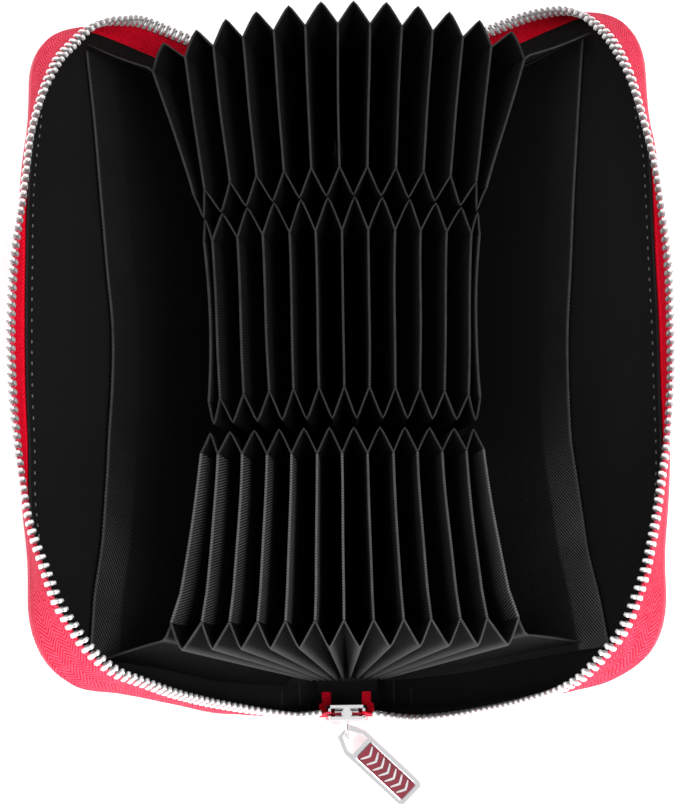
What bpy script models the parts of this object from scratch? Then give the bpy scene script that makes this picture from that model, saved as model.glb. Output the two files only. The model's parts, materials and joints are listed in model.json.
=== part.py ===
"""Zip-round wallet with an accordion of card slots, opened and stood on its spine.

X runs across the wallet, from the left cover to the right one. Y runs along the spine, from the zip slider
at the near end to the far end. Z is up, and the spine leather rests on z = 0.
"""

import math

import bmesh
import bpy
from mathutils import Matrix, Vector

MM = 0.001

# General fits
GAP = 0.3 * MM
CUT_OVERRUN = 1.0 * MM
WELD_REACH = 0.003 * MM

# Sheets that the wallet is made of
LEATHER_T = 1.2 * MM
LEATHER_EDGE_R = 0.4 * MM
BOARD_T = 0.8 * MM
LINING_T = 0.5 * MM
POCKET_T = 0.5 * MM
TAPE_T = 0.6 * MM
SPINE_T = 1.0 * MM
SPINE_EDGE_R = 0.3 * MM
SPINE_LINING_T = 0.6 * MM
BASE_T = 0.8 * MM

# Covers
WALLET_LENGTH = 190.0 * MM
COVER_HEIGHT = 105.0 * MM
COVER_CORNER_R = 22.0 * MM
COVER_TURN_DOWN = 1.5 * MM
COVER_OPEN = math.radians(45.0)
BOARD_INSET = 8.0 * MM
BOARD_FOOT = 3.0 * MM
LINING_INSET = 1.0 * MM
LINING_FOOT = 1.5 * MM
POCKET_INSET = 9.0 * MM
POCKET_FOOT = 3.0 * MM
POCKET_HEIGHT = 87.0 * MM
POCKET_DIP = 10.0 * MM
POCKET_STEPS = 12
ARC_STEPS = 8

# Accordion
LEAVES_PER_SIDE = 6
LEAF_T = 0.7 * MM
LEAF_PITCH = 1.5 * MM
LEAF_HEIGHT = 88.0 * MM
LEAF_FOOT = 5.0 * MM
LEAF_CORNER = 1.5 * MM
LEAF_FAN = math.radians(24.0)
ROWS = 3
ROW_GAP = 18.0 * MM
BLOCK_END_ROOM = 14.0 * MM
BASE_MARGIN = 0.1 * MM
BASE_END_MARGIN = 8.0 * MM
STACK_ROOM = 0.65 * MM

# Gussets
GUSSET_T = 0.9 * MM
SIDE_GUSSET_T = 0.5 * MM
SIDE_GUSSET_RISE = 12.0 * MM
SIDE_GUSSET_TOP = 90.0 * MM
SIDE_GUSSET_TUCK = 2.0 * MM
SIDE_GUSSET_END = 6.0 * MM

# Zip tape, seen in a section square to the cover's edge
TAPE_SEAM = 6.0 * MM
TAPE_FOOT = 4.0 * MM
TAPE_PROUD = 2.5 * MM
TAPE_RISE = 5.3 * MM
TAPE_CORNER_PROUD = 1.5 * MM
TAPE_CORNER_LEAN = math.radians(-18.0)
TAPE_OPEN_PROUD = 0.6 * MM
TAPE_MOUTH_LEAN = math.radians(60.0)
TAPE_FAR_LEAN = math.radians(50.0)
TAPE_STEP = 6.0 * MM

# Where the tape leans: along the mouth, up the far side, and along the edge round a corner
MOUTH_LEAN_FULL = 22.0 * MM
MOUTH_LEAN_NONE = 67.0 * MM
FAR_LEAN_FULL = 58.0 * MM
FAR_LEAN_NONE = 84.0 * MM
CORNER_LEAN_FULL = 7.0 * MM
CORNER_LEAN_NONE = 22.0 * MM

# Zip teeth
TOOTH_PITCH = 2.4 * MM
TOOTH_BASE_W = 1.5 * MM
TOOTH_TIP_W = 1.1 * MM
TOOTH_LENGTH = 2.3 * MM
TOOTH_T = 2.0 * MM
TOOTH_TIP_T = 1.4 * MM
CORD_W = 0.9 * MM
CHAIN_START = 12.2 * MM
CHAIN_END = 8.5 * MM
STOP_LENGTH = 3.0 * MM
LEG_TEETH = 3
LEG_LIFT = 0.5 * MM
LEG_TURN = math.radians(50.0)
PATH_SAMPLES = 800

# Zip slider
SLIDER_FOOT = 3.5 * MM
SLIDER_LENGTH = 13.0 * MM
SLIDER_SIDE_WALL = 0.75 * MM
SLIDER_SIDE_ROOM = 0.25 * MM
SLIDER_MOUTH_FLARE = 0.6 * MM
SLIDER_PLATE_T = 0.9 * MM
SLIDER_CORNER = 1.2 * MM
CHANNEL_ROOM = 0.2 * MM
TAPE_SLOT = 1.2 * MM
WALL_HEIGHT = 9.0 * MM
WEDGE_FOOT = 7.0 * MM
WEDGE_SHOULDER = 9.5 * MM
WEDGE_HALF_W = 1.0 * MM
WEDGE_TOP_DROP = 0.3 * MM
CROWN_R = 0.6 * MM
CROWN_REACH = 2.6 * MM
CROWN_DEPTH = 2.1 * MM
CROWN_HALF_H = 2.8 * MM
CROWN_HEIGHT = 4.0 * MM

# Closed stretch of zip below the slider
STOP_FOOT = 2.2 * MM
STOP_BLOCK = 1.0 * MM
STOP_HEIGHT = 5.8 * MM
STOP_T = 2.0 * MM
STOP_NOTCH = 0.7 * MM
STOP_NOTCHES = 2
END_TAPE_HALF_W = 8.5 * MM
END_TAPE_HEIGHT = 7.5 * MM
END_TAPE_SEAM = 7.0 * MM

# Pull tab, measured along its own axis from the hinge in the crown
TAB_T = 1.6 * MM
TAB_LENGTH = 27.0 * MM
TAB_WIDTH = 9.0 * MM
TAB_RAIL = 1.1 * MM
TAB_BAR = 0.8 * MM
TAB_BAR_LIFT = 0.1 * MM
TAB_TOP_W = 4.8 * MM
TAB_WINDOW_TOP_W = 2.6 * MM
TAB_SHOULDER = 4.0 * MM
TAB_WINDOW_END = 6.0 * MM
TAB_OFFSET = 0.75 * MM
TAB_CORNER = 1.0 * MM
TAB_YAW = math.radians(46.0)
TAB_CROSSBAR = 1.1 * MM
INLAY_DEPTH = 0.8 * MM
INLAY_T = 0.5 * MM
INLAY_CORNER = 0.5 * MM

# Places worked out from the sizes above
HALF_LENGTH = WALLET_LENGTH / 2
POCKET_BACK = POCKET_T
LINING_FRONT = POCKET_BACK + GAP
LINING_BACK = LINING_FRONT + LINING_T
BOARD_FRONT = LINING_BACK + GAP
BOARD_BACK = BOARD_FRONT + BOARD_T
LEATHER_FRONT = BOARD_BACK + GAP
LEATHER_BACK = LEATHER_FRONT + LEATHER_T
TAPE_DEPTH = (BOARD_FRONT + BOARD_BACK) / 2
TAPE_FREE = TAPE_RISE + TAPE_DEPTH
STACK_HALF = LEAVES_PER_SIDE * LEAF_PITCH + LEAF_T / 2
HINGE_X = STACK_HALF + STACK_ROOM
HINGE_Z = SPINE_T + GAP + LEATHER_BACK
SPINE_HALF_W = HINGE_X + COVER_TURN_DOWN - GAP
SPINE_LINING_Z = SPINE_T + GAP
BASE_Z = SPINE_LINING_Z + SPINE_LINING_T + GAP
BASE_TOP = BASE_Z + BASE_T
BASE_HALF_W = STACK_HALF + BASE_MARGIN
LEAF_Z = BASE_TOP + GAP + LEAF_T / 2 * math.sin(LEAF_FAN)
LEAF_STEP = LEAF_FAN / LEAVES_PER_SIDE
GUSSET_FOOT = LEAF_FOOT + GAP
BLOCK_HALF = HALF_LENGTH - BLOCK_END_ROOM
ROW_PITCH = (2 * BLOCK_HALF + ROW_GAP) / ROWS
POCKET_WIDTH = ROW_PITCH - ROW_GAP
ZIP_Y = -(HALF_LENGTH + TAPE_PROUD)
CHANNEL_HALF_T = TOOTH_T / 2 + CHANNEL_ROOM
CHAIN_ROOT_X = HINGE_X - TAPE_RISE - GAP
CHANNEL_HALF_W = CHAIN_ROOT_X + SLIDER_SIDE_ROOM
SLIDER_HALF_W = CHANNEL_HALF_W + SLIDER_SIDE_WALL
SLIDER_TOP = SLIDER_FOOT + SLIDER_LENGTH
SLIDER_FACE_Y = ZIP_Y - CHANNEL_HALF_T - SLIDER_PLATE_T
CROWN_Y = SLIDER_FACE_Y - CROWN_REACH
CROWN_Z = SLIDER_FOOT + CROWN_HEIGHT
TAB_HALF_W = TAB_WIDTH / 2
TAB_REACH = TAB_LENGTH * math.cos(TAB_YAW) + (TAB_HALF_W + TAB_OFFSET) * math.sin(TAB_YAW)
TAB_SLOPE = math.asin((CROWN_Z - GAP - TAB_T / 2) / TAB_REACH)

LEATHER_RED = (0.62, 0.035, 0.06, 1.0)
TAPE_RED = (0.60, 0.03, 0.055, 1.0)
INLAY_RED = (0.33, 0.02, 0.05, 1.0)
TWILL_BLACK = (0.012, 0.012, 0.014, 1.0)
BOARD_GREY = (0.25, 0.23, 0.2, 1.0)
CHROME = (0.8, 0.8, 0.82, 1.0)


def clear_scene():
    """Start from an empty file."""
    for item in list(bpy.data.objects):
        bpy.data.objects.remove(item, do_unlink=True)


def make_collection(name):
    collection = bpy.data.collections.new(name)
    bpy.context.scene.collection.children.link(collection)
    return collection


def make_material(name, color, roughness, metallic):
    material = bpy.data.materials.new(name)
    material.use_nodes = True
    shader = material.node_tree.nodes["Principled BSDF"]
    shader.inputs["Base Color"].default_value = color
    shader.inputs["Roughness"].default_value = roughness
    shader.inputs["Metallic"].default_value = metallic
    material.diffuse_color = color
    return material


clear_scene()
WALLET = make_collection("accordion_card_wallet")
CUTTERS = make_collection("cutters")
LEATHER = make_material("red_leather", LEATHER_RED, 0.5, 0.0)
TAPE = make_material("red_zip_tape", TAPE_RED, 0.8, 0.0)
FABRIC = make_material("black_twill", TWILL_BLACK, 0.9, 0.0)
BOARD = make_material("grey_board", BOARD_GREY, 0.9, 0.0)
METAL = make_material("chrome", CHROME, 0.2, 1.0)
INLAY = make_material("dark_red_inlay", INLAY_RED, 0.25, 0.0)


def place(item, material, parent=None, matrix=None, collection=None):
    """Link an object, give it its material and its place under its parent."""
    (collection or WALLET).objects.link(item)
    if material:
        item.data.materials.append(material)
    item.parent = parent
    item.matrix_local = matrix or Matrix.Identity(4)
    return item


def make_cutter(item):
    item.hide_render = True
    item.display_type = "WIRE"
    return item


def make_empty(name, location, turn_y=0.0):
    """An empty on a joint's axis."""
    empty = bpy.data.objects.new(name, None)
    empty.empty_display_size = HINGE_X
    WALLET.objects.link(empty)
    empty.location = location
    empty.rotation_euler = (0.0, turn_y, 0.0)
    return empty


def upright(x_middle):
    """Turn a flat outline so that its X runs along Y, its Y along Z and its thickness along X."""
    turn = Matrix(((0, 0, 1, 0), (1, 0, 0, 0), (0, 1, 0, 0), (0, 0, 0, 1)))
    return Matrix.Translation((x_middle, 0, 0)) @ turn


def facing_zip(y_middle):
    """Turn a flat outline so that its X runs along X, its Y along Z and its thickness along Y."""
    turn = Matrix(((1, 0, 0, 0), (0, 0, -1, 0), (0, 1, 0, 0), (0, 0, 0, 1)))
    return Matrix.Translation((0, y_middle, 0)) @ turn


def flat_piece(name, outline, thickness, material, parent=None, matrix=None, edge_r=0.0):
    """A flat outline with a thickness, and round edges where edge_r is given."""
    curve = bpy.data.curves.new(name, "CURVE")
    curve.dimensions = "2D"
    curve.fill_mode = "BOTH"
    curve.extrude = thickness / 2 - edge_r
    curve.bevel_depth = edge_r
    curve.bevel_resolution = 1
    curve.offset = -edge_r
    curve.render_resolution_u = 0
    spline = curve.splines.new("POLY")
    spline.points.add(len(outline) - 1)
    for point, (x, y) in zip(spline.points, outline):
        point.co = (x, y, 0.0, 1.0)
    spline.use_cyclic_u = True
    return place(bpy.data.objects.new(name, curve), material, parent, matrix)


def as_mesh(item):
    """Turn a curve object into a mesh object with welded caps, in the same place."""
    graph = bpy.context.evaluated_depsgraph_get()
    mesh = bpy.data.meshes.new_from_object(item.evaluated_get(graph))
    work = bmesh.new()
    work.from_mesh(mesh)
    bmesh.ops.remove_doubles(work, verts=work.verts, dist=WELD_REACH)
    bmesh.ops.recalc_face_normals(work, faces=work.faces)
    work.to_mesh(mesh)
    work.free()
    name = item.name
    collection = item.users_collection[0]
    parent = item.parent
    matrix = item.matrix_local.copy()
    bpy.data.objects.remove(item)
    return place(bpy.data.objects.new(name, mesh), None, parent, matrix, collection)


def combine(item, tool, operation):
    """Cut or join with a hidden tool object."""
    for collection in tool.users_collection:
        collection.objects.unlink(tool)
    CUTTERS.objects.link(tool)
    make_cutter(tool)
    modifier = item.modifiers.new(tool.name, "BOOLEAN")
    modifier.operation = operation
    modifier.object = tool


def loft(name, rings, material, parent=None):
    """Join rings of points, each with the same count, into one closed skin."""
    work = bmesh.new()
    rows = [[work.verts.new(point) for point in ring] for ring in rings]
    count = len(rows[0])
    for first, second in zip(rows, rows[1:]):
        for i in range(count):
            j = (i + 1) % count
            work.faces.new((first[i], first[j], second[j], second[i]))
    work.faces.new(rows[0])
    work.faces.new(list(reversed(rows[-1])))
    return finish_mesh(name, work, material, parent)


def finish_mesh(name, work, material, parent=None):
    bmesh.ops.recalc_face_normals(work, faces=work.faces)
    mesh = bpy.data.meshes.new(name)
    work.to_mesh(mesh)
    work.free()
    return place(bpy.data.objects.new(name, mesh), material, parent)


def arc(center, radius, start, end, steps):
    """Points on an arc, angles in quarter turns."""
    points = []
    for i in range(steps + 1):
        angle = math.pi / 2 * (start + (end - start) * i / steps)
        points.append((center[0] + radius * math.cos(angle), center[1] + radius * math.sin(angle)))
    return points


def rectangle(x_low, x_high, y_low, y_high):
    return [(x_low, y_low), (x_high, y_low), (x_high, y_high), (x_low, y_high)]


def chamfered(x_low, x_high, y_low, y_high, corner):
    """A rectangle with its four corners cut off."""
    return [
        (x_low + corner, y_low), (x_high - corner, y_low), (x_high, y_low + corner),
        (x_high, y_high - corner), (x_high - corner, y_high), (x_low + corner, y_high),
        (x_low, y_high - corner), (x_low, y_low + corner),
    ]


def slip_pocket_outline():
    """The pocket on the cover: its mouth hangs lower in the middle than at its ends."""
    half = HALF_LENGTH - POCKET_INSET
    outline = [(-half, POCKET_FOOT), (half, POCKET_FOOT)]
    for i in range(POCKET_STEPS + 1):
        place_share = 1 - 2 * i / POCKET_STEPS
        outline.append((half * place_share, POCKET_HEIGHT - POCKET_DIP * (1 - place_share * place_share)))
    return outline


def cover_outline(foot, top, half_length, radius):
    """A panel of the cover: square at the spine, round at the two mouth corners."""
    side = half_length - radius
    high = top - radius
    outline = [(-half_length, foot), (half_length, foot)]
    outline += arc((side, high), radius, 0, 1, ARC_STEPS)
    outline += arc((-side, high), radius, 1, 2, ARC_STEPS)
    return outline


def mix(first, second, share):
    return first + (second - first) * share


def ease(low, high, value):
    """A smooth change from 0 at low to 1 at high."""
    share = min(1.0, max(0.0, (value - low) / (high - low)))
    return share * share * (3 - 2 * share)


class EdgePath:
    """The free edge of a cover, from the spine at the near end round to the spine at the far end."""

    def __init__(self, start, end):
        self.start = start
        self.side = COVER_HEIGHT - COVER_CORNER_R
        self.turn = COVER_CORNER_R * math.pi / 2
        self.front = WALLET_LENGTH - 2 * COVER_CORNER_R
        self.near = self.side - start
        self.length = self.near + 2 * self.turn + self.front + self.side - end

    def edge(self, s):
        """The point (along, up) at a length s of the edge, and the way out of the cover there."""
        middle = HALF_LENGTH - COVER_CORNER_R
        if s <= self.near:
            return (-HALF_LENGTH, self.start + s), (-1.0, 0.0)
        s -= self.near
        if s <= self.turn:
            angle = math.pi - s / COVER_CORNER_R
            out = (math.cos(angle), math.sin(angle))
            return (-middle + COVER_CORNER_R * out[0], self.side + COVER_CORNER_R * out[1]), out
        s -= self.turn
        if s <= self.front:
            return (-middle + s, COVER_HEIGHT), (0.0, 1.0)
        s -= self.front
        if s <= self.turn:
            angle = math.pi / 2 - s / COVER_CORNER_R
            out = (math.cos(angle), math.sin(angle))
            return (middle + COVER_CORNER_R * out[0], self.side + COVER_CORNER_R * out[1]), out
        s -= self.turn
        return (HALF_LENGTH, self.side - s), (1.0, 0.0)

    def lean_shares(self, s):
        """How much of the lean of the corners, of the mouth and of the far side there is at a length s."""
        (along, up), _ = self.edge(s)
        near_corner = self.near + self.turn / 2
        far_corner = near_corner + self.turn + self.front
        reach = min(abs(s - near_corner), abs(s - far_corner))
        corner = ease(CORNER_LEAN_NONE, CORNER_LEAN_FULL, reach)
        mouth = ease(MOUTH_LEAN_NONE, MOUTH_LEAN_FULL, abs(along))
        far = ease(FAR_LEAN_NONE, FAR_LEAN_FULL, up) if s > far_corner else 0.0
        return corner, mouth, far

    def point(self, s, proud, rise, hand):
        """A point at a distance beyond the edge and above the slip pocket's face."""
        (along, up), out = self.edge(s)
        return Vector((-hand * rise, along + out[0] * proud, up + out[1] * proud))

    def stations(self, step):
        """Lengths about a step apart, with one at each end of each bend."""
        marks = [0.0, self.near]
        marks.append(marks[-1] + self.turn)
        marks.append(marks[-1] + self.front)
        marks.append(marks[-1] + self.turn)
        marks.append(self.length)
        lengths = [0.0]
        for first, second in zip(marks, marks[1:]):
            count = max(1, round((second - first) / step))
            lengths += [first + (second - first) * (i + 1) / count for i in range(count)]
        return lengths


def tape_section(path, s):
    """How far beyond the cover's edge the tape turns up, and how far it leans out from there."""
    corner, mouth, far = path.lean_shares(s)
    proud = mix(TAPE_PROUD, TAPE_CORNER_PROUD, corner) + (TAPE_OPEN_PROUD - TAPE_PROUD) * (mouth + far)
    lean = TAPE_CORNER_LEAN * corner + TAPE_MOUTH_LEAN * mouth + TAPE_FAR_LEAN * far
    return proud, lean


def tape_top(path, s):
    """Where the tape's free edge lies: how far beyond the cover's edge, how high, and its lean there."""
    proud, lean = tape_section(path, s)
    return proud + TAPE_FREE * math.sin(lean), TAPE_FREE * math.cos(lean) - TAPE_DEPTH, lean


def chain_frame(path, s, hand):
    """The chain's root, and the ways along its teeth and through its thickness."""
    proud, rise, lean = tape_top(path, s)
    tooth = Vector((math.sin(lean), math.cos(lean)))
    root = path.point(s, proud + GAP * tooth[0], rise + GAP * tooth[1], hand)
    tip = path.point(s, proud + tooth[0], rise + tooth[1], hand)
    base = path.point(s, proud, rise, hand)
    across = (tip - base).normalized()
    (_, _), out = path.edge(s)
    along = Vector((0.0, out[1], -out[0]))
    through = along.cross(across).normalized()
    return root, across, through


def chain_mesh(name, frames, hand, parent):
    """Teeth on their cord as one body. frames gives three frames a tooth: start, end and gap's end."""
    work = bmesh.new()
    lines = []
    for root, across, through in frames:
        base = root + across * CORD_W
        lines.append((
            work.verts.new(root),
            work.verts.new(base + through * TOOTH_T / 2),
            work.verts.new(base - through * TOOTH_T / 2),
        ))
    for i, (first, second) in enumerate(zip(lines, lines[1:])):
        work.faces.new((first[0], first[1], second[1], second[0]))
        work.faces.new((first[0], second[0], second[2], first[2]))
        if i % 2:
            work.faces.new((first[1], first[2], second[2], second[1]))
            continue
        narrow = (TOOTH_BASE_W - TOOTH_TIP_W) / 2 / TOOTH_BASE_W
        ends = []
        for share in (narrow, 1 - narrow):
            root = frames[i][0].lerp(frames[i + 1][0], share)
            across = frames[i][1].lerp(frames[i + 1][1], share)
            through = frames[i][2].lerp(frames[i + 1][2], share)
            tip = root + across * (CORD_W + TOOTH_LENGTH)
            ends.append((
                work.verts.new(tip + through * TOOTH_TIP_T / 2),
                work.verts.new(tip - through * TOOTH_TIP_T / 2),
            ))
        start, end = ends
        work.faces.new((first[1], start[0], end[0], second[1]))
        work.faces.new((first[2], second[2], end[1], start[1]))
        work.faces.new((first[1], first[2], start[1], start[0]))
        work.faces.new((second[1], end[0], end[1], second[2]))
        work.faces.new((start[0], start[1], end[1], end[0]))
    work.faces.new(lines[0])
    work.faces.new(lines[-1])
    return finish_mesh(name, work, METAL, parent)


def chain_lengths(path):
    """Lengths along the cover's edge that put the teeth at an even pitch along the chain's root."""
    total = 0.0
    table = [(0.0, 0.0)]
    last = chain_frame(path, 0.0, 1)[0]
    for i in range(1, PATH_SAMPLES + 1):
        s = path.length * i / PATH_SAMPLES
        root = chain_frame(path, s, 1)[0]
        total += (root - last).length
        table.append((total, s))
        last = root
    count = int(total / TOOTH_PITCH)
    marks = []
    for i in range(count):
        start = i * TOOTH_PITCH
        marks += [start, start + TOOTH_BASE_W]
    lengths = []
    row = 0
    for mark in marks:
        while table[row + 1][0] < mark:
            row += 1
        before, after = table[row], table[row + 1]
        share = (mark - before[0]) / (after[0] - before[0])
        lengths.append(mix(before[1], after[1], share))
    return lengths


def make_cover(side, hand):
    """One cover on its hinge: leather, board, lining, slip pocket, zip tape, teeth and top stop."""
    hinge = make_empty(side + "_cover_hinge", (hand * HINGE_X, 0.0, HINGE_Z), hand * COVER_OPEN)
    layers = (
        ("_cover_leather", LEATHER_FRONT, LEATHER_T, -COVER_TURN_DOWN, 0.0, LEATHER, LEATHER_EDGE_R),
        ("_cover_board", BOARD_FRONT, BOARD_T, BOARD_FOOT, BOARD_INSET, BOARD, 0.0),
        ("_cover_lining", LINING_FRONT, LINING_T, LINING_FOOT, LINING_INSET, FABRIC, 0.0),
    )
    for name, front, thickness, foot, inset, material, edge_r in layers:
        outline = cover_outline(foot, COVER_HEIGHT - inset, HALF_LENGTH - inset, COVER_CORNER_R - inset)
        middle = hand * (front + thickness / 2)
        flat_piece(side + name, outline, thickness, material, hinge, upright(middle), edge_r)
    middle = hand * POCKET_T / 2
    flat_piece(side + "_slip_pocket", slip_pocket_outline(), POCKET_T, FABRIC, hinge, upright(middle))
    make_tape(side, hand, hinge)
    path = EdgePath(CHAIN_START, CHAIN_END)
    frames = [chain_frame(path, s, hand) for s in chain_lengths(path)]
    chain_mesh(side + "_zip_chain", frames, hand, hinge)
    make_top_stop(side, hand, hinge, path)


def make_tape(side, hand, hinge):
    """The tape: sewn in under the lining, out past the edge, and up to the teeth."""
    path = EdgePath(TAPE_FOOT, TAPE_FOOT)
    work = bmesh.new()
    rows = []
    for s in path.stations(TAPE_STEP):
        bend, _ = tape_section(path, s)
        proud, rise, _ = tape_top(path, s)
        rows.append([
            work.verts.new(path.point(s, -TAPE_SEAM, -TAPE_DEPTH, hand)),
            work.verts.new(path.point(s, bend, -TAPE_DEPTH, hand)),
            work.verts.new(path.point(s, proud, rise, hand)),
        ])
    for first, second in zip(rows, rows[1:]):
        for i in range(2):
            work.faces.new((first[i], first[i + 1], second[i + 1], second[i]))
    tape = finish_mesh(side + "_zip_tape", work, TAPE, hinge)
    skin = tape.modifiers.new("thickness", "SOLIDIFY")
    skin.thickness = TAPE_T
    skin.offset = 0.0
    skin.use_even_offset = True


def make_top_stop(side, hand, hinge, path):
    """A small metal clip past the last tooth."""
    past = EdgePath(CHAIN_START, CHAIN_END - TOOTH_PITCH - GAP - STOP_LENGTH)
    rings = []
    for s in (past.length - STOP_LENGTH, past.length):
        root, across, through = chain_frame(past, s, hand)
        end = root + across * (CORD_W + TOOTH_LENGTH)
        half = through * TOOTH_T / 2
        rings.append([root + half, root - half, end - half, end + half])
    loft(side + "_top_stop", rings, METAL, hinge)


def leaf_outline():
    """A comb: one foot along the spine, and one pocket wall for each row."""
    outline = [(-BLOCK_HALF, 0.0), (BLOCK_HALF, 0.0)]
    for row in reversed(range(ROWS)):
        middle = (row - (ROWS - 1) / 2) * ROW_PITCH
        low = middle - POCKET_WIDTH / 2
        high = middle + POCKET_WIDTH / 2
        if row < ROWS - 1:
            outline.append((high, LEAF_FOOT))
        outline += [
            (high, LEAF_HEIGHT - LEAF_CORNER), (high - LEAF_CORNER, LEAF_HEIGHT),
            (low + LEAF_CORNER, LEAF_HEIGHT), (low, LEAF_HEIGHT - LEAF_CORNER),
        ]
        if row > 0:
            outline.append((low, LEAF_FOOT))
    return outline


def make_leaves():
    for i in range(2 * LEAVES_PER_SIDE + 1):
        number = i - LEAVES_PER_SIDE
        name = f"leaf_{i:02d}"
        pivot = make_empty(name + "_fold", (number * LEAF_PITCH, 0.0, LEAF_Z), number * LEAF_STEP)
        flat_piece(name, leaf_outline(), LEAF_T, FABRIC, pivot, upright(0.0))


def fan_point(number, radius, y):
    """A point on leaf number (halves lie midway between two leaves) at a radius from its foot."""
    angle = number * LEAF_STEP
    return Vector((number * LEAF_PITCH + radius * math.sin(angle), y, LEAF_Z + radius * math.cos(angle)))


def folded_sheet(name, folds, thickness, material):
    """A sheet through pairs of points (foot, top), one pair for each fold, with a thickness along Y."""
    half = Vector((0.0, thickness / 2, 0.0))
    work = bmesh.new()
    rows = []
    for foot, top in folds:
        rows.append([work.verts.new(p) for p in (foot - half, top - half, foot + half, top + half)])
    for i, (first, second) in enumerate(zip(rows, rows[1:])):
        rising = i % 2 == 0
        for low, high in ((0, 1), (2, 3)):
            if rising:
                work.faces.new((first[low], first[high], second[high]))
                work.faces.new((first[low], second[high], second[low]))
            else:
                work.faces.new((first[low], first[high], second[low]))
                work.faces.new((first[high], second[high], second[low]))
        work.faces.new((first[1], first[3], second[3], second[1]))
        work.faces.new((first[0], second[0], second[2], first[2]))
    work.faces.new((rows[0][0], rows[0][1], rows[0][3], rows[0][2]))
    work.faces.new((rows[-1][0], rows[-1][2], rows[-1][3], rows[-1][1]))
    return finish_mesh(name, work, material)


def make_pocket_gussets():
    """One pleated strip closes all the slots of a row at each of its two ends."""
    valley = POCKET_WIDTH / 2 + GAP + GUSSET_T / 2
    peak = ROW_PITCH / 2 - GAP / 2 - GUSSET_T / 2
    for strip in range(2 * ROWS):
        middle = (strip // 2 - (ROWS - 1) / 2) * ROW_PITCH
        way = 1 if strip % 2 else -1
        folds = []
        for i in range(4 * LEAVES_PER_SIDE + 1):
            number = i / 2 - LEAVES_PER_SIDE
            y = middle + way * (peak if i % 2 else valley)
            folds.append((fan_point(number, GUSSET_FOOT, y), fan_point(number, LEAF_HEIGHT, y)))
        folded_sheet(f"pocket_gusset_{strip}", folds, GUSSET_T, FABRIC)


def make_side_gussets():
    """A panel from the outer leaf to the cover at each end, which stops the cover when it is open."""
    for side, hand in (("left", -1), ("right", 1)):
        for end, way in (("near", -1), ("far", 1)):
            leaf_y = way * (BLOCK_HALF - SIDE_GUSSET_TUCK)
            cover_y = way * (HALF_LENGTH - SIDE_GUSSET_END)
            beside = Vector((math.cos(LEAF_FAN), 0.0, -math.sin(LEAF_FAN))) * (LEAF_T / 2 + GAP)
            levels = ((SIDE_GUSSET_RISE, SIDE_GUSSET_RISE), (LEAF_HEIGHT - LEAF_CORNER, SIDE_GUSSET_TOP))
            folds = []
            for radius, up in levels:
                at_leaf = fan_point(LEAVES_PER_SIDE, radius, leaf_y) + beside
                lean = Vector((math.sin(COVER_OPEN), 0.0, math.cos(COVER_OPEN)))
                inward = Vector((-math.cos(COVER_OPEN), 0.0, math.sin(COVER_OPEN)))
                at_cover = Vector((HINGE_X, cover_y, HINGE_Z)) + lean * up + inward * GAP
                for point in (at_leaf, at_cover):
                    point.x *= hand
                folds.append((at_leaf, at_cover))
            (leaf_foot, cover_foot), (leaf_top, cover_top) = folds
            name = f"side_gusset_{side}_{end}"
            folded_sheet(name, [(leaf_foot, leaf_top), (cover_foot, cover_top)], SIDE_GUSSET_T, FABRIC)


def make_spine():
    outline = rectangle(-SPINE_HALF_W, SPINE_HALF_W, -HALF_LENGTH, HALF_LENGTH)
    flat_piece("spine_leather", outline, SPINE_T, LEATHER, None,
               Matrix.Translation((0, 0, SPINE_T / 2)), SPINE_EDGE_R)
    near = -HALF_LENGTH + END_TAPE_SEAM + GAP
    lining_x = HINGE_X - COVER_TURN_DOWN
    outline = rectangle(-lining_x, lining_x, near, HALF_LENGTH - LINING_INSET)
    flat_piece("spine_lining", outline, SPINE_LINING_T, FABRIC, None,
               Matrix.Translation((0, 0, SPINE_LINING_Z + SPINE_LINING_T / 2)))
    base_y = BLOCK_HALF + BASE_END_MARGIN
    outline = rectangle(-BASE_HALF_W, BASE_HALF_W, -base_y, base_y)
    outline = [(x, min(max(y, near), HALF_LENGTH)) for x, y in outline]
    flat_piece("accordion_base", outline, BASE_T, FABRIC, None,
               Matrix.Translation((0, 0, BASE_Z + BASE_T / 2)))


def make_zip_end():
    """The two tape ends at the spine, joined by the bottom stop and the closed teeth on it."""
    notch = CHAIN_ROOT_X - CORD_W + GAP
    low = SPINE_LINING_Z + TAPE_T / 2
    high = END_TAPE_HEIGHT
    floor = STOP_FOOT - GAP
    outline = [
        (-END_TAPE_HALF_W, low - TAPE_T / 2), (END_TAPE_HALF_W, low - TAPE_T / 2), (END_TAPE_HALF_W, high),
        (notch, high), (notch, floor), (-notch, floor), (-notch, high), (-END_TAPE_HALF_W, high),
    ]
    tape = as_mesh(flat_piece("zip_end_tape", outline, TAPE_T, TAPE, None, facing_zip(ZIP_Y)))
    tape.data.materials.append(TAPE)
    seam_y = -HALF_LENGTH + END_TAPE_SEAM
    outline = rectangle(-END_TAPE_HALF_W, END_TAPE_HALF_W, ZIP_Y, seam_y)
    seam = as_mesh(flat_piece("zip_end_seam", outline, TAPE_T, TAPE, None, Matrix.Translation((0, 0, low))))
    combine(tape, seam, "UNION")
    half_w = notch - GAP
    outline = [(-half_w, STOP_FOOT), (half_w, STOP_FOOT)]
    tooth = (STOP_HEIGHT - STOP_BLOCK) / (2 * STOP_NOTCHES)
    right = []
    for i in range(STOP_NOTCHES):
        level = STOP_FOOT + STOP_BLOCK + 2 * i * tooth
        right += [(half_w, level), (half_w - STOP_NOTCH, level), (half_w - STOP_NOTCH, level + tooth),
                  (half_w, level + tooth)]
    right.append((half_w, STOP_FOOT + STOP_HEIGHT))
    outline += right + [(-x, y) for x, y in reversed(right)]
    flat_piece("zip_bottom_stop", outline, STOP_T, METAL, None, facing_zip(ZIP_Y))


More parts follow.
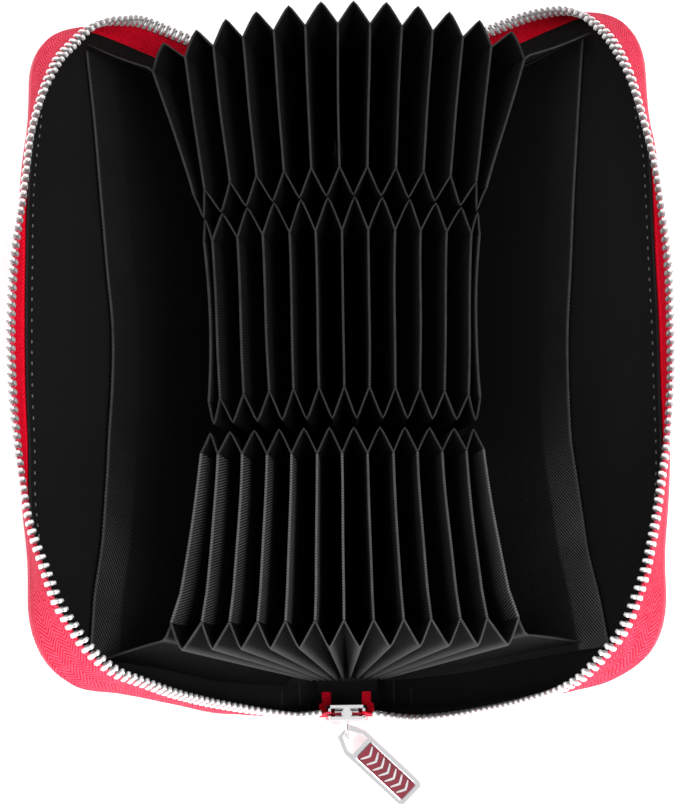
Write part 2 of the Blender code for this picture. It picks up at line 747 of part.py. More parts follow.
def make_zip_legs():
    """The short free stretch of teeth between the slider's mouth and each cover."""
    path = EdgePath(CHAIN_START, CHAIN_END)
    for side, hand in (("left", -1), ("right", 1)):
        turn = Matrix.Rotation(hand * COVER_OPEN, 4, "Y")
        hinge = Matrix.Translation((hand * HINGE_X, 0.0, HINGE_Z)) @ turn
        root, across, through = chain_frame(path, 0.0, hand)
        end = hinge @ (root - Vector((0.0, 0.0, TOOTH_PITCH - TOOTH_BASE_W)))
        end_across = turn.to_3x3() @ across
        through = turn.to_3x3() @ through
        start = Vector((hand * CHAIN_ROOT_X, ZIP_Y, SLIDER_TOP + LEG_LIFT))
        start_across = Vector((-hand * math.cos(LEG_TURN), 0.0, math.sin(LEG_TURN)))
        frames = []
        pitch_share = 1 / (LEG_TEETH - 1 + TOOTH_BASE_W / TOOTH_PITCH)
        tooth_share = TOOTH_BASE_W / TOOTH_PITCH * pitch_share
        for i in range(LEG_TEETH):
            for share in (i * pitch_share, i * pitch_share + tooth_share):
                across = start_across.lerp(end_across, share).normalized()
                frames.append((start.lerp(end, share), across, through))
        chain_mesh(side + "_zip_leg", frames, hand, None)


def prism(name, outline, thickness, y_middle, parent):
    """A flat metal piece that faces the zip's front, as a mesh ready to be joined."""
    return as_mesh(flat_piece(name, outline, thickness, METAL, parent, facing_zip(y_middle)))


def make_slider():
    """Two plates joined by the wedge, with side walls that leave a slot for the tape, and a crown."""
    axis = make_empty("zip_slide", (0.0, ZIP_Y, SLIDER_FOOT))
    mouth = SLIDER_HALF_W + SLIDER_MOUTH_FLARE
    plate = [
        (-SLIDER_HALF_W + SLIDER_CORNER, 0.0), (SLIDER_HALF_W - SLIDER_CORNER, 0.0),
        (SLIDER_HALF_W, SLIDER_CORNER), (mouth, WALL_HEIGHT), (mouth, SLIDER_LENGTH - SLIDER_CORNER),
        (mouth - SLIDER_CORNER, SLIDER_LENGTH), (-mouth + SLIDER_CORNER, SLIDER_LENGTH),
        (-mouth, SLIDER_LENGTH - SLIDER_CORNER), (-mouth, WALL_HEIGHT), (-SLIDER_HALF_W, SLIDER_CORNER),
    ]
    plate_y = CHANNEL_HALF_T + SLIDER_PLATE_T / 2
    slider = prism("zip_slider", plate, SLIDER_PLATE_T, -plate_y, axis)
    slider.data.materials.append(METAL)
    parts = [prism("slider_back_plate", plate, SLIDER_PLATE_T, plate_y, axis)]
    wedge = [
        (0.0, WEDGE_FOOT), (WEDGE_HALF_W, WEDGE_SHOULDER), (WEDGE_HALF_W, SLIDER_LENGTH - WEDGE_TOP_DROP),
        (-WEDGE_HALF_W, SLIDER_LENGTH - WEDGE_TOP_DROP), (-WEDGE_HALF_W, WEDGE_SHOULDER),
    ]
    parts.append(prism("slider_wedge", wedge, 2 * plate_y, 0.0, axis))
    wall_t = CHANNEL_HALF_T + SLIDER_PLATE_T / 2 - TAPE_SLOT / 2
    wall_y = TAPE_SLOT / 2 + wall_t / 2
    for number, (hand, way) in enumerate(((-1, -1), (-1, 1), (1, -1), (1, 1))):
        wall = rectangle(CHANNEL_HALF_W, SLIDER_HALF_W, SLIDER_CORNER, WALL_HEIGHT)
        wall = [(hand * x, z) for x, z in wall]
        parts.append(prism(f"slider_wall_{number}", wall, wall_t, way * wall_y, axis))
    parts.append(make_crown(axis))
    for part in parts:
        combine(slider, part, "UNION")
    return axis


def make_crown(axis):
    """The hoop on the slider's front plate that holds the pull tab."""
    curve = bpy.data.curves.new("slider_crown", "CURVE")
    curve.dimensions = "3D"
    curve.bevel_depth = CROWN_R
    curve.bevel_resolution = 2
    curve.use_fill_caps = True
    curve.render_resolution_u = 0
    spline = curve.splines.new("POLY")
    root = SLIDER_FACE_Y - ZIP_Y + SLIDER_PLATE_T / 2
    axis_y = CROWN_Y - ZIP_Y
    middle = CROWN_Z - SLIDER_FOOT
    points = [(root, CROWN_HALF_H)]
    points += [(axis_y - CROWN_DEPTH * x, CROWN_HALF_H * y) for x, y in arc((0, 0), 1.0, 1, -1, ARC_STEPS)]
    points.append((root, -CROWN_HALF_H))
    spline.points.add(len(points) - 1)
    for point, (y, z) in zip(spline.points, points):
        point.co = (0.0, y, middle + z, 1.0)
    return as_mesh(place(bpy.data.objects.new("slider_crown", curve), METAL, axis))


def make_pull(slider_axis):
    """The pull tab: a metal frame with a window for the crown and a sunk inlay."""
    hinge = bpy.data.objects.new("pull_swing", None)
    WALLET.objects.link(hinge)
    hinge.parent = slider_axis
    hinge.location = (0.0, CROWN_Y - ZIP_Y, CROWN_Z - SLIDER_FOOT)
    hinge.rotation_euler = (TAB_SLOPE, 0.0, 0.0)
    turn = Matrix.Rotation(math.pi + TAB_YAW, 4, "Z")
    half = TAB_HALF_W
    top = TAB_TOP_W / 2
    outer = [
        (-top, -TAB_BAR), (top, -TAB_BAR), (half, TAB_SHOULDER), (half, TAB_LENGTH - TAB_CORNER),
        (half - TAB_CORNER, TAB_LENGTH), (-half + TAB_CORNER, TAB_LENGTH), (-half, TAB_LENGTH - TAB_CORNER),
        (-half, TAB_SHOULDER),
    ]
    inner = half - TAB_RAIL
    window_top = TAB_WINDOW_TOP_W / 2
    window = [
        (-window_top, TAB_BAR_LIFT), (window_top, TAB_BAR_LIFT), (inner, TAB_SHOULDER),
        (inner, TAB_WINDOW_END), (-inner, TAB_WINDOW_END), (-inner, TAB_SHOULDER),
    ]
    recess_low = TAB_WINDOW_END + TAB_CROSSBAR
    recess_high = TAB_LENGTH - TAB_RAIL
    recess = chamfered(-inner, inner, recess_low, recess_high, INLAY_CORNER)
    inlay = chamfered(-inner + GAP, inner - GAP, recess_low + GAP, recess_high - GAP, INLAY_CORNER)
    shift = Matrix.Translation((TAB_OFFSET, 0.0, 0.0))

    def tab_piece(name, outline, thickness, z, material):
        matrix = turn @ shift @ Matrix.Translation((0.0, 0.0, z))
        return flat_piece(name, outline, thickness, material, hinge, matrix)

    frame = as_mesh(tab_piece("pull_frame", outer, TAB_T, 0.0, METAL))
    frame.data.materials.append(METAL)
    hole = as_mesh(tab_piece("pull_window", window, TAB_T + CUT_OVERRUN, 0.0, METAL))
    combine(frame, hole, "DIFFERENCE")
    recess_z = TAB_T / 2 - INLAY_DEPTH / 2 + CUT_OVERRUN / 2
    sink = as_mesh(tab_piece("pull_recess", recess, INLAY_DEPTH + CUT_OVERRUN, recess_z, METAL))
    combine(frame, sink, "DIFFERENCE")
    inlay_z = TAB_T / 2 - INLAY_DEPTH + GAP + INLAY_T / 2
    tab_piece("pull_inlay", inlay, INLAY_T, inlay_z, INLAY)


make_spine()
make_leaves()
make_pocket_gussets()
make_side_gussets()
make_cover("left", -1)
make_cover("right", 1)
make_zip_end()
make_zip_legs()
make_pull(make_slider())
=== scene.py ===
"""Looks of the accordion card wallet: bowed leaves, pleated gussets, covers, zip, slider, light and camera.

Every length is in metres, in the part's own frame. X runs across the wallet, Y along the spine, Z is up.
"""

import json
import math

import bmesh
import bpy
from mathutils import Matrix, Vector, noise

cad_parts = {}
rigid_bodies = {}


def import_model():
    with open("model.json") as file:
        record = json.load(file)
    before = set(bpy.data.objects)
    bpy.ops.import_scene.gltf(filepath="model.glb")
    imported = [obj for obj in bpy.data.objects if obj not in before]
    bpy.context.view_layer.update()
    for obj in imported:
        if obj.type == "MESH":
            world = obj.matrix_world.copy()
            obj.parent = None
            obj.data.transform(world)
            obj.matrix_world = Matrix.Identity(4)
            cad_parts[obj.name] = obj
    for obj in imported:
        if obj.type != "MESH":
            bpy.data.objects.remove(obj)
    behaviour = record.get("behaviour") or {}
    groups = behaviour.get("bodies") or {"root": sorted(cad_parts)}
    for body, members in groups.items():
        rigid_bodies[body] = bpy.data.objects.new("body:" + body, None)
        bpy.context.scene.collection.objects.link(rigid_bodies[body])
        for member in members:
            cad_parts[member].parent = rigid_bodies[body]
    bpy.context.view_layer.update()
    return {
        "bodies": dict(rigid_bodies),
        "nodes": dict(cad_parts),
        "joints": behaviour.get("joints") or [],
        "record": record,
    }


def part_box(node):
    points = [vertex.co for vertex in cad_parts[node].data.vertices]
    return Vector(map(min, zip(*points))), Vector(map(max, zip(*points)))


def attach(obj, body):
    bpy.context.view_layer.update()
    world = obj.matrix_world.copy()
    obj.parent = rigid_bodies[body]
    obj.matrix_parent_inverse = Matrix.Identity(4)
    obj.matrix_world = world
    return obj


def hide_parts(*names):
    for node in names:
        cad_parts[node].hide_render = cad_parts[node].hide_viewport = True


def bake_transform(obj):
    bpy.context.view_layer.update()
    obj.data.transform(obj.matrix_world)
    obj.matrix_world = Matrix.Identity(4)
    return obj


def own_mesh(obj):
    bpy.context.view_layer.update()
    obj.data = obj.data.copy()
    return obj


MM = 0.001
FULL_TURN = 2 * math.pi

for item in list(bpy.data.objects):
    bpy.data.objects.remove(item, do_unlink=True)
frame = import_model()
JOINTS = {joint["name"]: joint for joint in frame["joints"]}
NODES = frame["nodes"]

# Places read from the frame
HINGE_X = JOINTS["right_cover_hinge"]["pos_m"][0]
HINGE_Z = JOINTS["right_cover_hinge"]["pos_m"][2]
COVER_OPEN = math.radians(JOINTS["right_cover_hinge"]["range_deg"][1])
LEAVES_PER_SIDE = sum(name.startswith("leaf_") for name in JOINTS) // 2
LEAF_PITCH = -JOINTS["leaf_00_fold"]["pos_m"][0] / LEAVES_PER_SIDE
LEAF_Z = JOINTS["leaf_00_fold"]["pos_m"][2]
LEAF_STEP = math.radians(JOINTS["leaf_00_fold"]["range_deg"][1]) / LEAVES_PER_SIDE
LEAF_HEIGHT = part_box("leaf_06")[1].z - LEAF_Z
BLOCK_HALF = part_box("leaf_06")[1].y
HALF_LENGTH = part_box("spine_leather")[1].y
SPINE_HALF_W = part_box("spine_leather")[1].x
SPINE_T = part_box("spine_leather")[1].z
SLIDER_LOW, SLIDER_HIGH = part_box("zip_slider")
ZIP_Y = (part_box("zip_bottom_stop")[0].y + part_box("zip_bottom_stop")[1].y) / 2

# Camera
CAMERA_ELEVATION = math.radians(75.0)
CAMERA_ROLL = math.radians(0.84)
CAMERA_PLACE = (-0.8 * MM, -131.7 * MM, 491.4 * MM)
CAMERA_LENS = 71.9
CAMERA_SENSOR = 36.0
CAMERA_CLIP = (0.01, 20.0)

# Accordion
ROWS = 3
ROW_PITCH = 60.0 * MM
POCKET_WIDTH = 42.0 * MM
TOP_SHARE = 0.6
LEAF_FOOT = 5.0 * MM
LEAF_T = 0.62 * MM
GUSSET_T = 0.42 * MM
GUSSET_PEAK = 6.5 * MM
GUSSET_ROUND = 0.07
FLAP_STEPS = 12
RADIUS_STEPS = 8
FOLD_STEPS = 10
LEAF_WAVE = 0.28 * MM
LEAF_EDGE_WAVE = 0.3 * MM
LEAF_EDGE_R = 0.22 * MM
GUSSET_EDGE_R = 0.12 * MM
BOW_SHARE = 0.45

# Degrees between neighbouring leaves along the spine, read from the fan in the photograph
SPREAD_DEGREES = (
    (-95 * MM, 4.0), (-80 * MM, 3.78), (-71 * MM, 3.6), (-37 * MM, 3.25), (-8 * MM, 3.4), (22 * MM, 3.6),
    (40 * MM, 3.95), (82 * MM, 4.78), (95 * MM, 5.0),
)
# Degrees by which the outermost leaves differ from that fan
OUTER_DEGREES = (
    (-95 * MM, 1.4), (-80 * MM, 0.9), (-71 * MM, 0.0), (-37 * MM, -1.2), (-8 * MM, -3.2), (22 * MM, -3.1),
    (40 * MM, -2.6), (82 * MM, 1.9), (95 * MM, 2.4),
)
ROW_SWAY_DEGREES = (-0.22, 0.33, 0.1)

# The near and the far end of each row at the leaves' top edges, in mm: at the middle leaf, how much further
# along the two outermost leaves are, and how much more than that the right one is
ROW_ENDS = (
    ((-80.3, 0.9, 0.0), (-37.8, 1.7, 0.0)),
    ((-20.0, -2.3, 0.0), (22.9, -0.5, 0.6)),
    ((41.2, -5.0, 0.6), (83.3, -6.8, 1.2)),
)
# The tips of the pleats beyond those ends
PLEAT_TIPS = (
    ((-87.1, 0.9, 0.0), (-31.0, 0.0, 0.0)),
    ((-28.5, 0.0, 0.0), (32.3, -4.2, 0.6)),
    ((32.9, -4.2, 0.6), (90.1, -6.8, 1.2)),
)

# Covers
COVER_HEIGHT = 105.0 * MM
COVER_CORNER_R = 22.0 * MM
LINING_DEPTH = 1.05 * MM
LINING_T = 0.5 * MM
LINING_INSET = 0.5 * MM
LINING_FOOT = 1.5 * MM
LEATHER_DEPTH = 3.3 * MM
LEATHER_T = 1.2 * MM
LEATHER_ROUND = 0.5 * MM
POCKET_FOOT = 3.0 * MM
POCKET_T = 0.55 * MM
POCKET_HALF = 87.5 * MM
BOARD_DEPTH = 2.0 * MM
BOARD_T = 0.5 * MM
BOARD_INSET = 8.0 * MM
BOARD_FOOT = 3.0 * MM
STITCH_INSET = 3.3 * MM
STITCH_PITCH = 3.0 * MM
STITCH_LENGTH = 2.1 * MM
LINING_STITCH_INSET = 2.3 * MM
LINING_STITCH_LENGTH = 1.0 * MM
LINING_STITCH_START = 6.0 * MM
STITCH_START = 8.0 * MM
STITCH_W = 0.42 * MM
STITCH_H = 0.26 * MM
SPINE_STRIP = 7.0 * MM
CLOTH_EDGE_R = 0.15 * MM

# Columns between a panel's corners and at each of them, and rows up the cover
LINING_GRID = (24, 10, 24)
BOARD_GRID = (16, 6, 16)
SKIN_GRID = (30, 12, 26)

# How far the cloth of the covers swells and lifts
LINING_SWELL = 0.25 * MM
SKIN_SWELL = 0.12 * MM
SKIN_PUFF = 0.35 * MM
SKIN_RIM = 9.0 * MM
POCKET_LIFT = 0.25 * MM
POCKET_BULGE = 0.9 * MM
POCKET_RUCK = 0.3 * MM

# The leather's bend beside the spine, outward of its edge and up, and the lining's bend on the spine
# (across, up) and on the cover (up, lift), in mm
SPINE_BEND = ((-0.2, 0.0), (0.35, 0.15), (0.85, 0.7))
SPINE_BEND_UP = (0.4, 2.5, 4.7)
LINING_BEND_SPINE = ((7.4, 2.15), (9.2, 2.25), (10.4, 2.7))
LINING_BEND_COVER = ((1.2, 0.25), (3.2, 0.3), (5.4, 0.2))
BEND_END = 4.0 * MM

# The slip pockets' upper edges, left and right: places along the spine and up the cover, in mm
POCKET_TOP = {
    -1: (
        (-84.4, 88.0), (-71.5, 86.3), (-55, 81.6), (-36.2, 78.7), (-24, 78.2), (-8.1, 77.6), (7.6, 78.0),
        (23.4, 80.2), (48.3, 83.4), (70.9, 86.2), (88.4, 88.5),
    ),
    1: (
        (-87.7, 89.7), (-73.7, 86.9), (-57.1, 81.5), (-31.6, 76.4), (-16.1, 76.0), (2.6, 76.9),
        (21.3, 79.1), (46.6, 81.8), (69.2, 84.7), (88.7, 87.4),
    ),
}

# The near corners of the covers curl up and the far edges belly out
CURL_ALONG = (30.0 * MM, 95.0 * MM)
CURL_UP = (25.0 * MM, 95.0 * MM)
CURL_RISE = 9.0 * MM
CURL_SHIFT = 2.5 * MM
CURL_DROP = 1.0 * MM
BELLY = 1.2 * MM
BELLY_ALONG = (70.0 * MM, 95.0 * MM)
BELLY_UP = (5.0 * MM, 40.0 * MM)
BELLY_UP_END = (100.0 * MM, 70.0 * MM)

# The layers under the tape are squarer at their corners than the line of the teeth: how far out their short
# edges are, by the height on the cover, and how far up their corners reach, in mm
LOW_RISE = (6.0 * MM, -2.0 * MM)
CORNER_ALONG = (60.0 * MM, 93.0 * MM)
CORNER_UP = (60.0 * MM, 102.0 * MM)
CORNER_OUT = {
    (-1, "near"): (
        (0, 1.0), (17, 1.1), (30, 1.2), (40, 1.4), (55, 0.6), (77, 0.7), (85, 1.3), (92, 2.2), (105, 2.6),
    ),
    (1, "near"): ((0, 0.3), (26, 0.4), (50, 0.2), (70, 0.6), (84, 1.0), (92, 1.3), (99, 2.2), (105, 2.8)),
    (-1, "far"): ((0, 0.0), (60, 0.0), (80, 0.5), (100, 1.1)),
    (1, "far"): ((0, 0.0), (15, 0.6), (40, 2.4), (60, 2.8), (85, 3.2), (105, 3.6)),
}
CORNER_RAISED = {(-1, "near"): 1.6, (1, "near"): 2.8, (-1, "far"): 0.8, (1, "far"): 0.5}
# How far their long edges stand out beyond a straight line, by the place along the spine, in mm
EDGE_WAVE = {
    -1: (
        (-95, 0), (-85, -0.4), (-62, -1.6), (-47, -1.6), (-33, -2.0), (-18, -0.6), (0, 0.5), (18, 1.1),
        (38, 1.7), (50, 1.2), (62, 0), (95, 0),
    ),
    1: (
        (-95, 0), (-85, -0.3), (-62, -0.7), (-33, -0.5), (-15, 0.1), (0, 0.8), (18, 1.1), (38, 1.7),
        (50, 1.7), (62, 0), (95, 0),
    ),
}
WAVE_UP = (80.0 * MM, 105.0 * MM)

# Zip tape and teeth
TAPE_SEAM = 6.0 * MM
TAPE_DEPTH = 2.0 * MM
TAPE_T = 0.6 * MM
TAPE_FOOT = 4.0 * MM
CHAIN_START = 12.2 * MM
CHAIN_END = 8.5 * MM
TOOTH_PITCH = 2.4 * MM
TOOTH_MIDDLE = 1.6 * MM
CORD_R = 0.62 * MM
CORD_STEPS = 320
CORD_START = 2.0 * MM
PATH_SAMPLES = 500
TAPE_STEPS = 8
TAPE_COLUMNS = 170
TAPE_REACH_LIMIT = 0.97

# Length along the cover's edge from the near end of the spine, and how far beyond the cover's edge the
# middle of a tooth lies there, in mm
TOOTH_LINE = {
    -1: (
        (0, 2.8), (14, 3.3), (34, 2.3), (54, 1.7), (68, 1.0), (82, -0.7), (93, -1.9), (100, -2.2),
        (107, -2.0), (115, 0), (122, 1.7), (133, 3.7), (148, 4.6), (160, 5.8), (167, 6.6), (186, 7.4),
        (211, 7.1), (226, 6.0), (235, 5.5), (246, 4.7), (258, 2.0), (267, -1.3), (278, -3.3), (286, -1.9),
        (298, 1.9), (308, 5.6), (318, 7.1), (327, 7.2), (336, 8.0), (345, 8.8), (372, 8.4),
    ),
    1: (
        (0, 2.6), (7, 3.5), (18, 5.0), (32, 5.1), (47, 4.9), (63, 4.8), (78, 4.0), (88, 2.0), (96, 0.5),
        (104, 0.7), (113, 0.9), (120, 2.3), (128, 3.0), (146, 3.8), (158, 5.2), (173, 6.6), (190, 7.1),
        (205, 7.3), (217, 6.9), (231, 6.2), (240, 5.3), (249, 3.9), (259, 1.8), (269, -1.3), (281, -1.6),
        (290, 0.6), (300, 3.8), (310, 5.9), (320, 6.8), (336, 7.8), (345, 8.6), (372, 8.4),
    ),
}
# How far a tooth's middle is from the foot of the free tape, and where the tape bends up beyond the cover's
# edge
TOOTH_REACH = ((0, 9.2), (50, 9.2), (85, 11.0), (115, 11.0), (150, 9.2), (400, 9.2))
TAPE_BEND = ((0, 2.5), (25, 2.7), (60, 3.5), (85, 2.6), (105, 1.5), (130, 0.0), (165, 0.3), (400, 0.6))

# Black hem inside the tape at the near edge, which also stands in for the shade on the tape's inner face
# there
HEM_LENGTH = 78.0 * MM
HEM_SHARE = 0.85
HEM_GAP = 0.75 * MM
HEM_T = 0.4 * MM
HEM_EDGE_R = 0.12 * MM
HEM_COLUMNS = 50
HEM_POINTS = 7
HEM_FOOT = (-2.0 * MM, 0.9 * MM)

# Side gussets
SIDE_GUSSET_T = 0.5 * MM
SIDE_GUSSET_FOOT = 12.0 * MM
SIDE_GUSSET_ENDS = {
    (-1, "near"): (-88.7, 85.2), (1, "near"): (-85.5, 80.7),
    (-1, "far"): (89.5, 88.5), (1, "far"): (88.5, 90.0),
}
SIDE_GUSSET_LAP = 10.0 * MM
SIDE_FOLD = 0.12
SIDE_FOLD_REACH = {"near": 4.2 * MM, "far": 2.0 * MM}
SIDE_FOLD_SHARE = 0.12
SIDE_GUSSET_RISE = 1.2 * MM
SIDE_GUSSET_LINES = 8
SIDE_GUSSET_COLUMNS = 20
SIDE_GUSSET_TOP_GAP = 0.6 * MM
SIDE_GUSSET_LIFT = 0.6 * MM
SIDE_GUSSET_TUCK = 0.3 * MM
SIDE_GUSSET_LAYER = 0.8 * MM
SIDE_GUSSET_WEAVE = 75.0 * MM
SIDE_SAG_DOWN = 0.5 * MM
SIDE_SAG_OUT = 0.3 * MM


# Camera

def make_camera():
    data = bpy.data.cameras.new("camera")
    data.sensor_width = CAMERA_SENSOR
    data.lens = CAMERA_LENS
    data.clip_start, data.clip_end = CAMERA_CLIP
    camera = bpy.data.objects.new("camera", data)
    bpy.context.scene.collection.objects.link(camera)
    tilt = Matrix.Rotation(math.pi / 2 - CAMERA_ELEVATION, 4, "X")
    roll = Matrix.Rotation(-CAMERA_ROLL, 4, "Z")
    camera.matrix_world = Matrix.Translation(CAMERA_PLACE) @ tilt @ roll
    bpy.context.scene.camera = camera


make_camera()


# Curves and meshes

def mix(first, second, share):
    return first + (second - first) * share


def ease(low, high, value):
    """Smooth step from 0 at low to 1 at high."""
    share = min(1.0, max(0.0, (value - low) / (high - low)))
    return share * share * (3 - 2 * share)


def curve_at(points, place):
    """A smooth curve through (place, value) points, read at one place."""
    if place <= points[0][0]:
        return points[0][1]
    if place >= points[-1][0]:
        return points[-1][1]
    slopes = []
    for i in range(len(points)):
        before = points[max(0, i - 1)]
        after = points[min(len(points) - 1, i + 1)]
        slopes.append((after[1] - before[1]) / (after[0] - before[0]))
    i = 0
    while points[i + 1][0] < place:
        i += 1
    width = points[i + 1][0] - points[i][0]
    t = (place - points[i][0]) / width
    return (
        points[i][1] * (2 * t**3 - 3 * t**2 + 1) + slopes[i] * width * (t**3 - 2 * t**2 + t)
        + points[i + 1][1] * (3 * t**2 - 2 * t**3) + slopes[i + 1] * width * (t**3 - t**2)
    )


def lengths_along(points):
    """Running lengths of a line of points."""
    lengths = [0.0]
    for first, second in zip(points, points[1:]):
        lengths.append(lengths[-1] + (second - first).length)
    return lengths


def object_from(name, work, material):
    mesh = bpy.data.meshes.new(name)
    work.to_mesh(mesh)
    work.free()
    item = bpy.data.objects.new(name, mesh)
    bpy.context.scene.collection.objects.link(item)
    mesh.materials.append(material)
    return item


def grid_object(name, grids, material, keep_face=None):
    """Sheets of quads as one object. Each grid is (rows of points, rows of weave coordinates in metres)."""
    work = bmesh.new()
    weave = work.loops.layers.uv.new("weave")
    for rows, coordinates in grids:
        verts = [[work.verts.new(point) for point in row] for row in rows]
        for i in range(len(rows) - 1):
            for j in range(len(rows[0]) - 1):
                if keep_face and not keep_face(i, j):
                    continue
                corners = ((i, j), (i, j + 1), (i + 1, j + 1), (i + 1, j))
                face = work.faces.new([verts[a][b] for a, b in corners])
                face.smooth = True
                for loop, (a, b) in zip(face.loops, corners):
                    loop[weave].uv = coordinates[a][b]
    loose = [vert for vert in work.verts if not vert.link_faces]
    bmesh.ops.delete(work, geom=loose, context="VERTS")
    return object_from(name, work, material)


def measured(rows):
    """Weave coordinates for rows of points: lengths along each row, and down from the last row."""
    down = [lengths_along(column) for column in zip(*rows)]
    return [
        [(length, down[j][i] - down[j][-1]) for j, length in enumerate(lengths_along(row))]
        for i, row in enumerate(rows)
    ]


def round_edges(item, width, segments, angle, keep_sharp):
    bevel = item.modifiers.new("edges", "BEVEL")
    bevel.width = width
    bevel.segments = segments
    bevel.limit_method = "ANGLE"
    bevel.angle_limit = math.radians(angle)
    item.modifiers.new("normals", "WEIGHTED_NORMAL").keep_sharp = keep_sharp


def thicken(item, thickness, edge=0.0, segments=2, even=True):
    """A sheet's thickness and its rounded edges, with or without an even offset."""
    skin = item.modifiers.new("thickness", "SOLIDIFY")
    skin.thickness = thickness
    skin.offset = 0.0
    skin.use_even_offset = even
    if edge:
        round_edges(item, edge, segments, 55, True)


# The second weave coordinate runs this far once round a ring
RING_WEAVE = 2.0 * MM


def ring_object(name, lofts, material):
    """Closed skins through rings of points. Each loft is a list of rings with the same count."""
    work = bmesh.new()
    weave = work.loops.layers.uv.new("weave")
    for rings in lofts:
        rows = [[work.verts.new(point) for point in ring] for ring in rings]
        count = len(rows[0])
        run = lengths_along([sum((Vector(p) for p in ring), Vector()) / count for ring in rings])
        for i, (first, second) in enumerate(zip(rows, rows[1:])):
            for j in range(count):
                k = (j + 1) % count
                face = work.faces.new((first[j], first[k], second[k], second[j]))
                face.smooth = True
                around = (j / count, (j + 1) / count)
                low, high = run[i], run[i + 1]
                places = ((low, around[0]), (low, around[1]), (high, around[1]), (high, around[0]))
                for loop, (u, v) in zip(face.loops, places):
                    loop[weave].uv = (u, v * RING_WEAVE)
        work.faces.new(list(reversed(rows[0])))
        work.faces.new(rows[-1])
    bmesh.ops.recalc_face_normals(work, faces=work.faces)
    return object_from(name, work, material)


def oval(center, first, second, wide, high, count):
    """A ring of points."""
    angles = [FULL_TURN * k / count for k in range(count)]
    return [center + first * (wide * math.cos(a)) + second * (high * math.sin(a)) for a in angles]


def declare_sheet(panels):
    """Works out the size the cloth was cut to, from its own rows, but neither keeps nor returns it. Several
    panels are cut side by side.
    """
    width = sum(max(lengths_along(row)[-1] for row in rows) for rows in panels)
    length = max(lengths_along(column)[-1] for rows in panels for column in zip(*rows))


def put_in_slot(item, material=None):
    if material:
        item.data.materials.clear()
        item.data.materials.append(material)
    return item


# Materials

# Sockets of a mix node for colours: share, first and second colour, and the result
MIX_INPUTS = (0, 6, 7)
MIX_RESULT = 2


class Nodes:
    """Short names for the nodes of one material."""

    def __init__(self, name, color, roughness, metallic=0.0):
        self.material = bpy.data.materials.new(name)
        self.material.use_nodes = True
        self.material.diffuse_color = color
        self.tree = self.material.node_tree
        self.shader = self.tree.nodes["Principled BSDF"]
        self.shader.inputs["Base Color"].default_value = color
        self.shader.inputs["Roughness"].default_value = roughness
        self.shader.inputs["Metallic"].default_value = metallic

    def link(self, source, target):
        self.tree.links.new(source, target)

    def put(self, socket, value):
        if isinstance(value, bpy.types.NodeSocket):
            self.link(value, socket)
        else:
            socket.default_value = value

    def math(self, operation, first, second=0.0, clamp=False):
        node = self.tree.nodes.new("ShaderNodeMath")
        node.operation = operation
        node.use_clamp = clamp
        for socket, value in zip(node.inputs, (first, second)):
            self.put(socket, value)
        return node.outputs[0]

    def weave(self):
        """The two coordinates of the cloth, in metres."""
        node = self.tree.nodes.new("ShaderNodeUVMap")
        node.uv_map = "weave"
        split = self.tree.nodes.new("ShaderNodeSeparateXYZ")
        self.link(node.outputs["UV"], split.inputs[0])
        return split.outputs[0], split.outputs[1]

    def place(self):
        return self.tree.nodes.new("ShaderNodeTexCoord").outputs["Object"]

    def axis(self, index):
        split = self.tree.nodes.new("ShaderNodeSeparateXYZ")
        self.link(self.place(), split.inputs[0])
        return split.outputs[index]

    def noise(self, scale, detail):
        node = self.tree.nodes.new("ShaderNodeTexNoise")
        node.inputs["Scale"].default_value = scale
        node.inputs["Detail"].default_value = detail
        self.link(self.place(), node.inputs["Vector"])
        return node.outputs["Fac"]

    def cells(self, scale):
        """Distance to the creases between cells."""
        node = self.tree.nodes.new("ShaderNodeTexVoronoi")
        node.feature = "DISTANCE_TO_EDGE"
        node.inputs["Scale"].default_value = scale
        self.link(self.place(), node.inputs["Vector"])
        return node.outputs["Distance"]

    def ramp(self, value, low, high, from_value=0.0, to_value=1.0):
        """A straight change from one number to another while value goes from low to high."""
        node = self.tree.nodes.new("ShaderNodeMapRange")
        self.link(value, node.inputs["Value"])
        numbers = {"From Min": low, "From Max": high, "To Min": from_value, "To Max": to_value}
        for key, number in numbers.items():
            node.inputs[key].default_value = number
        return node.outputs[0]

    def blend(self, share, first, second):
        node = self.tree.nodes.new("ShaderNodeMix")
        node.data_type = "RGBA"
        for socket, value in zip(MIX_INPUTS, (share, first, second)):
            self.put(node.inputs[socket], value)
        return node.outputs[MIX_RESULT]

    def gloss(self, value):
        self.shader.inputs["Specular IOR Level"].default_value = value

    def color(self, value):
        self.link(value, self.shader.inputs["Base Color"])

    def roughness(self, value):
        self.link(value, self.shader.inputs["Roughness"])

    def bump(self, height, strength, distance):
        node = self.tree.nodes.new("ShaderNodeBump")
        node.inputs["Strength"].default_value = strength
        node.inputs["Distance"].default_value = distance
        self.link(height, node.inputs["Height"])
        self.link(node.outputs[0], self.shader.inputs["Normal"])

    def sheen(self, weight, roughness, tint):
        self.shader.inputs["Sheen Weight"].default_value = weight
        self.shader.inputs["Sheen Roughness"].default_value = roughness
        self.shader.inputs["Sheen Tint"].default_value = tint


WHITE = (1.0, 1.0, 1.0, 1.0)
BLACK_SHEEN = (0.8, 0.8, 0.85, 1.0)
RED_SHEEN = (1.0, 0.5, 0.6, 1.0)


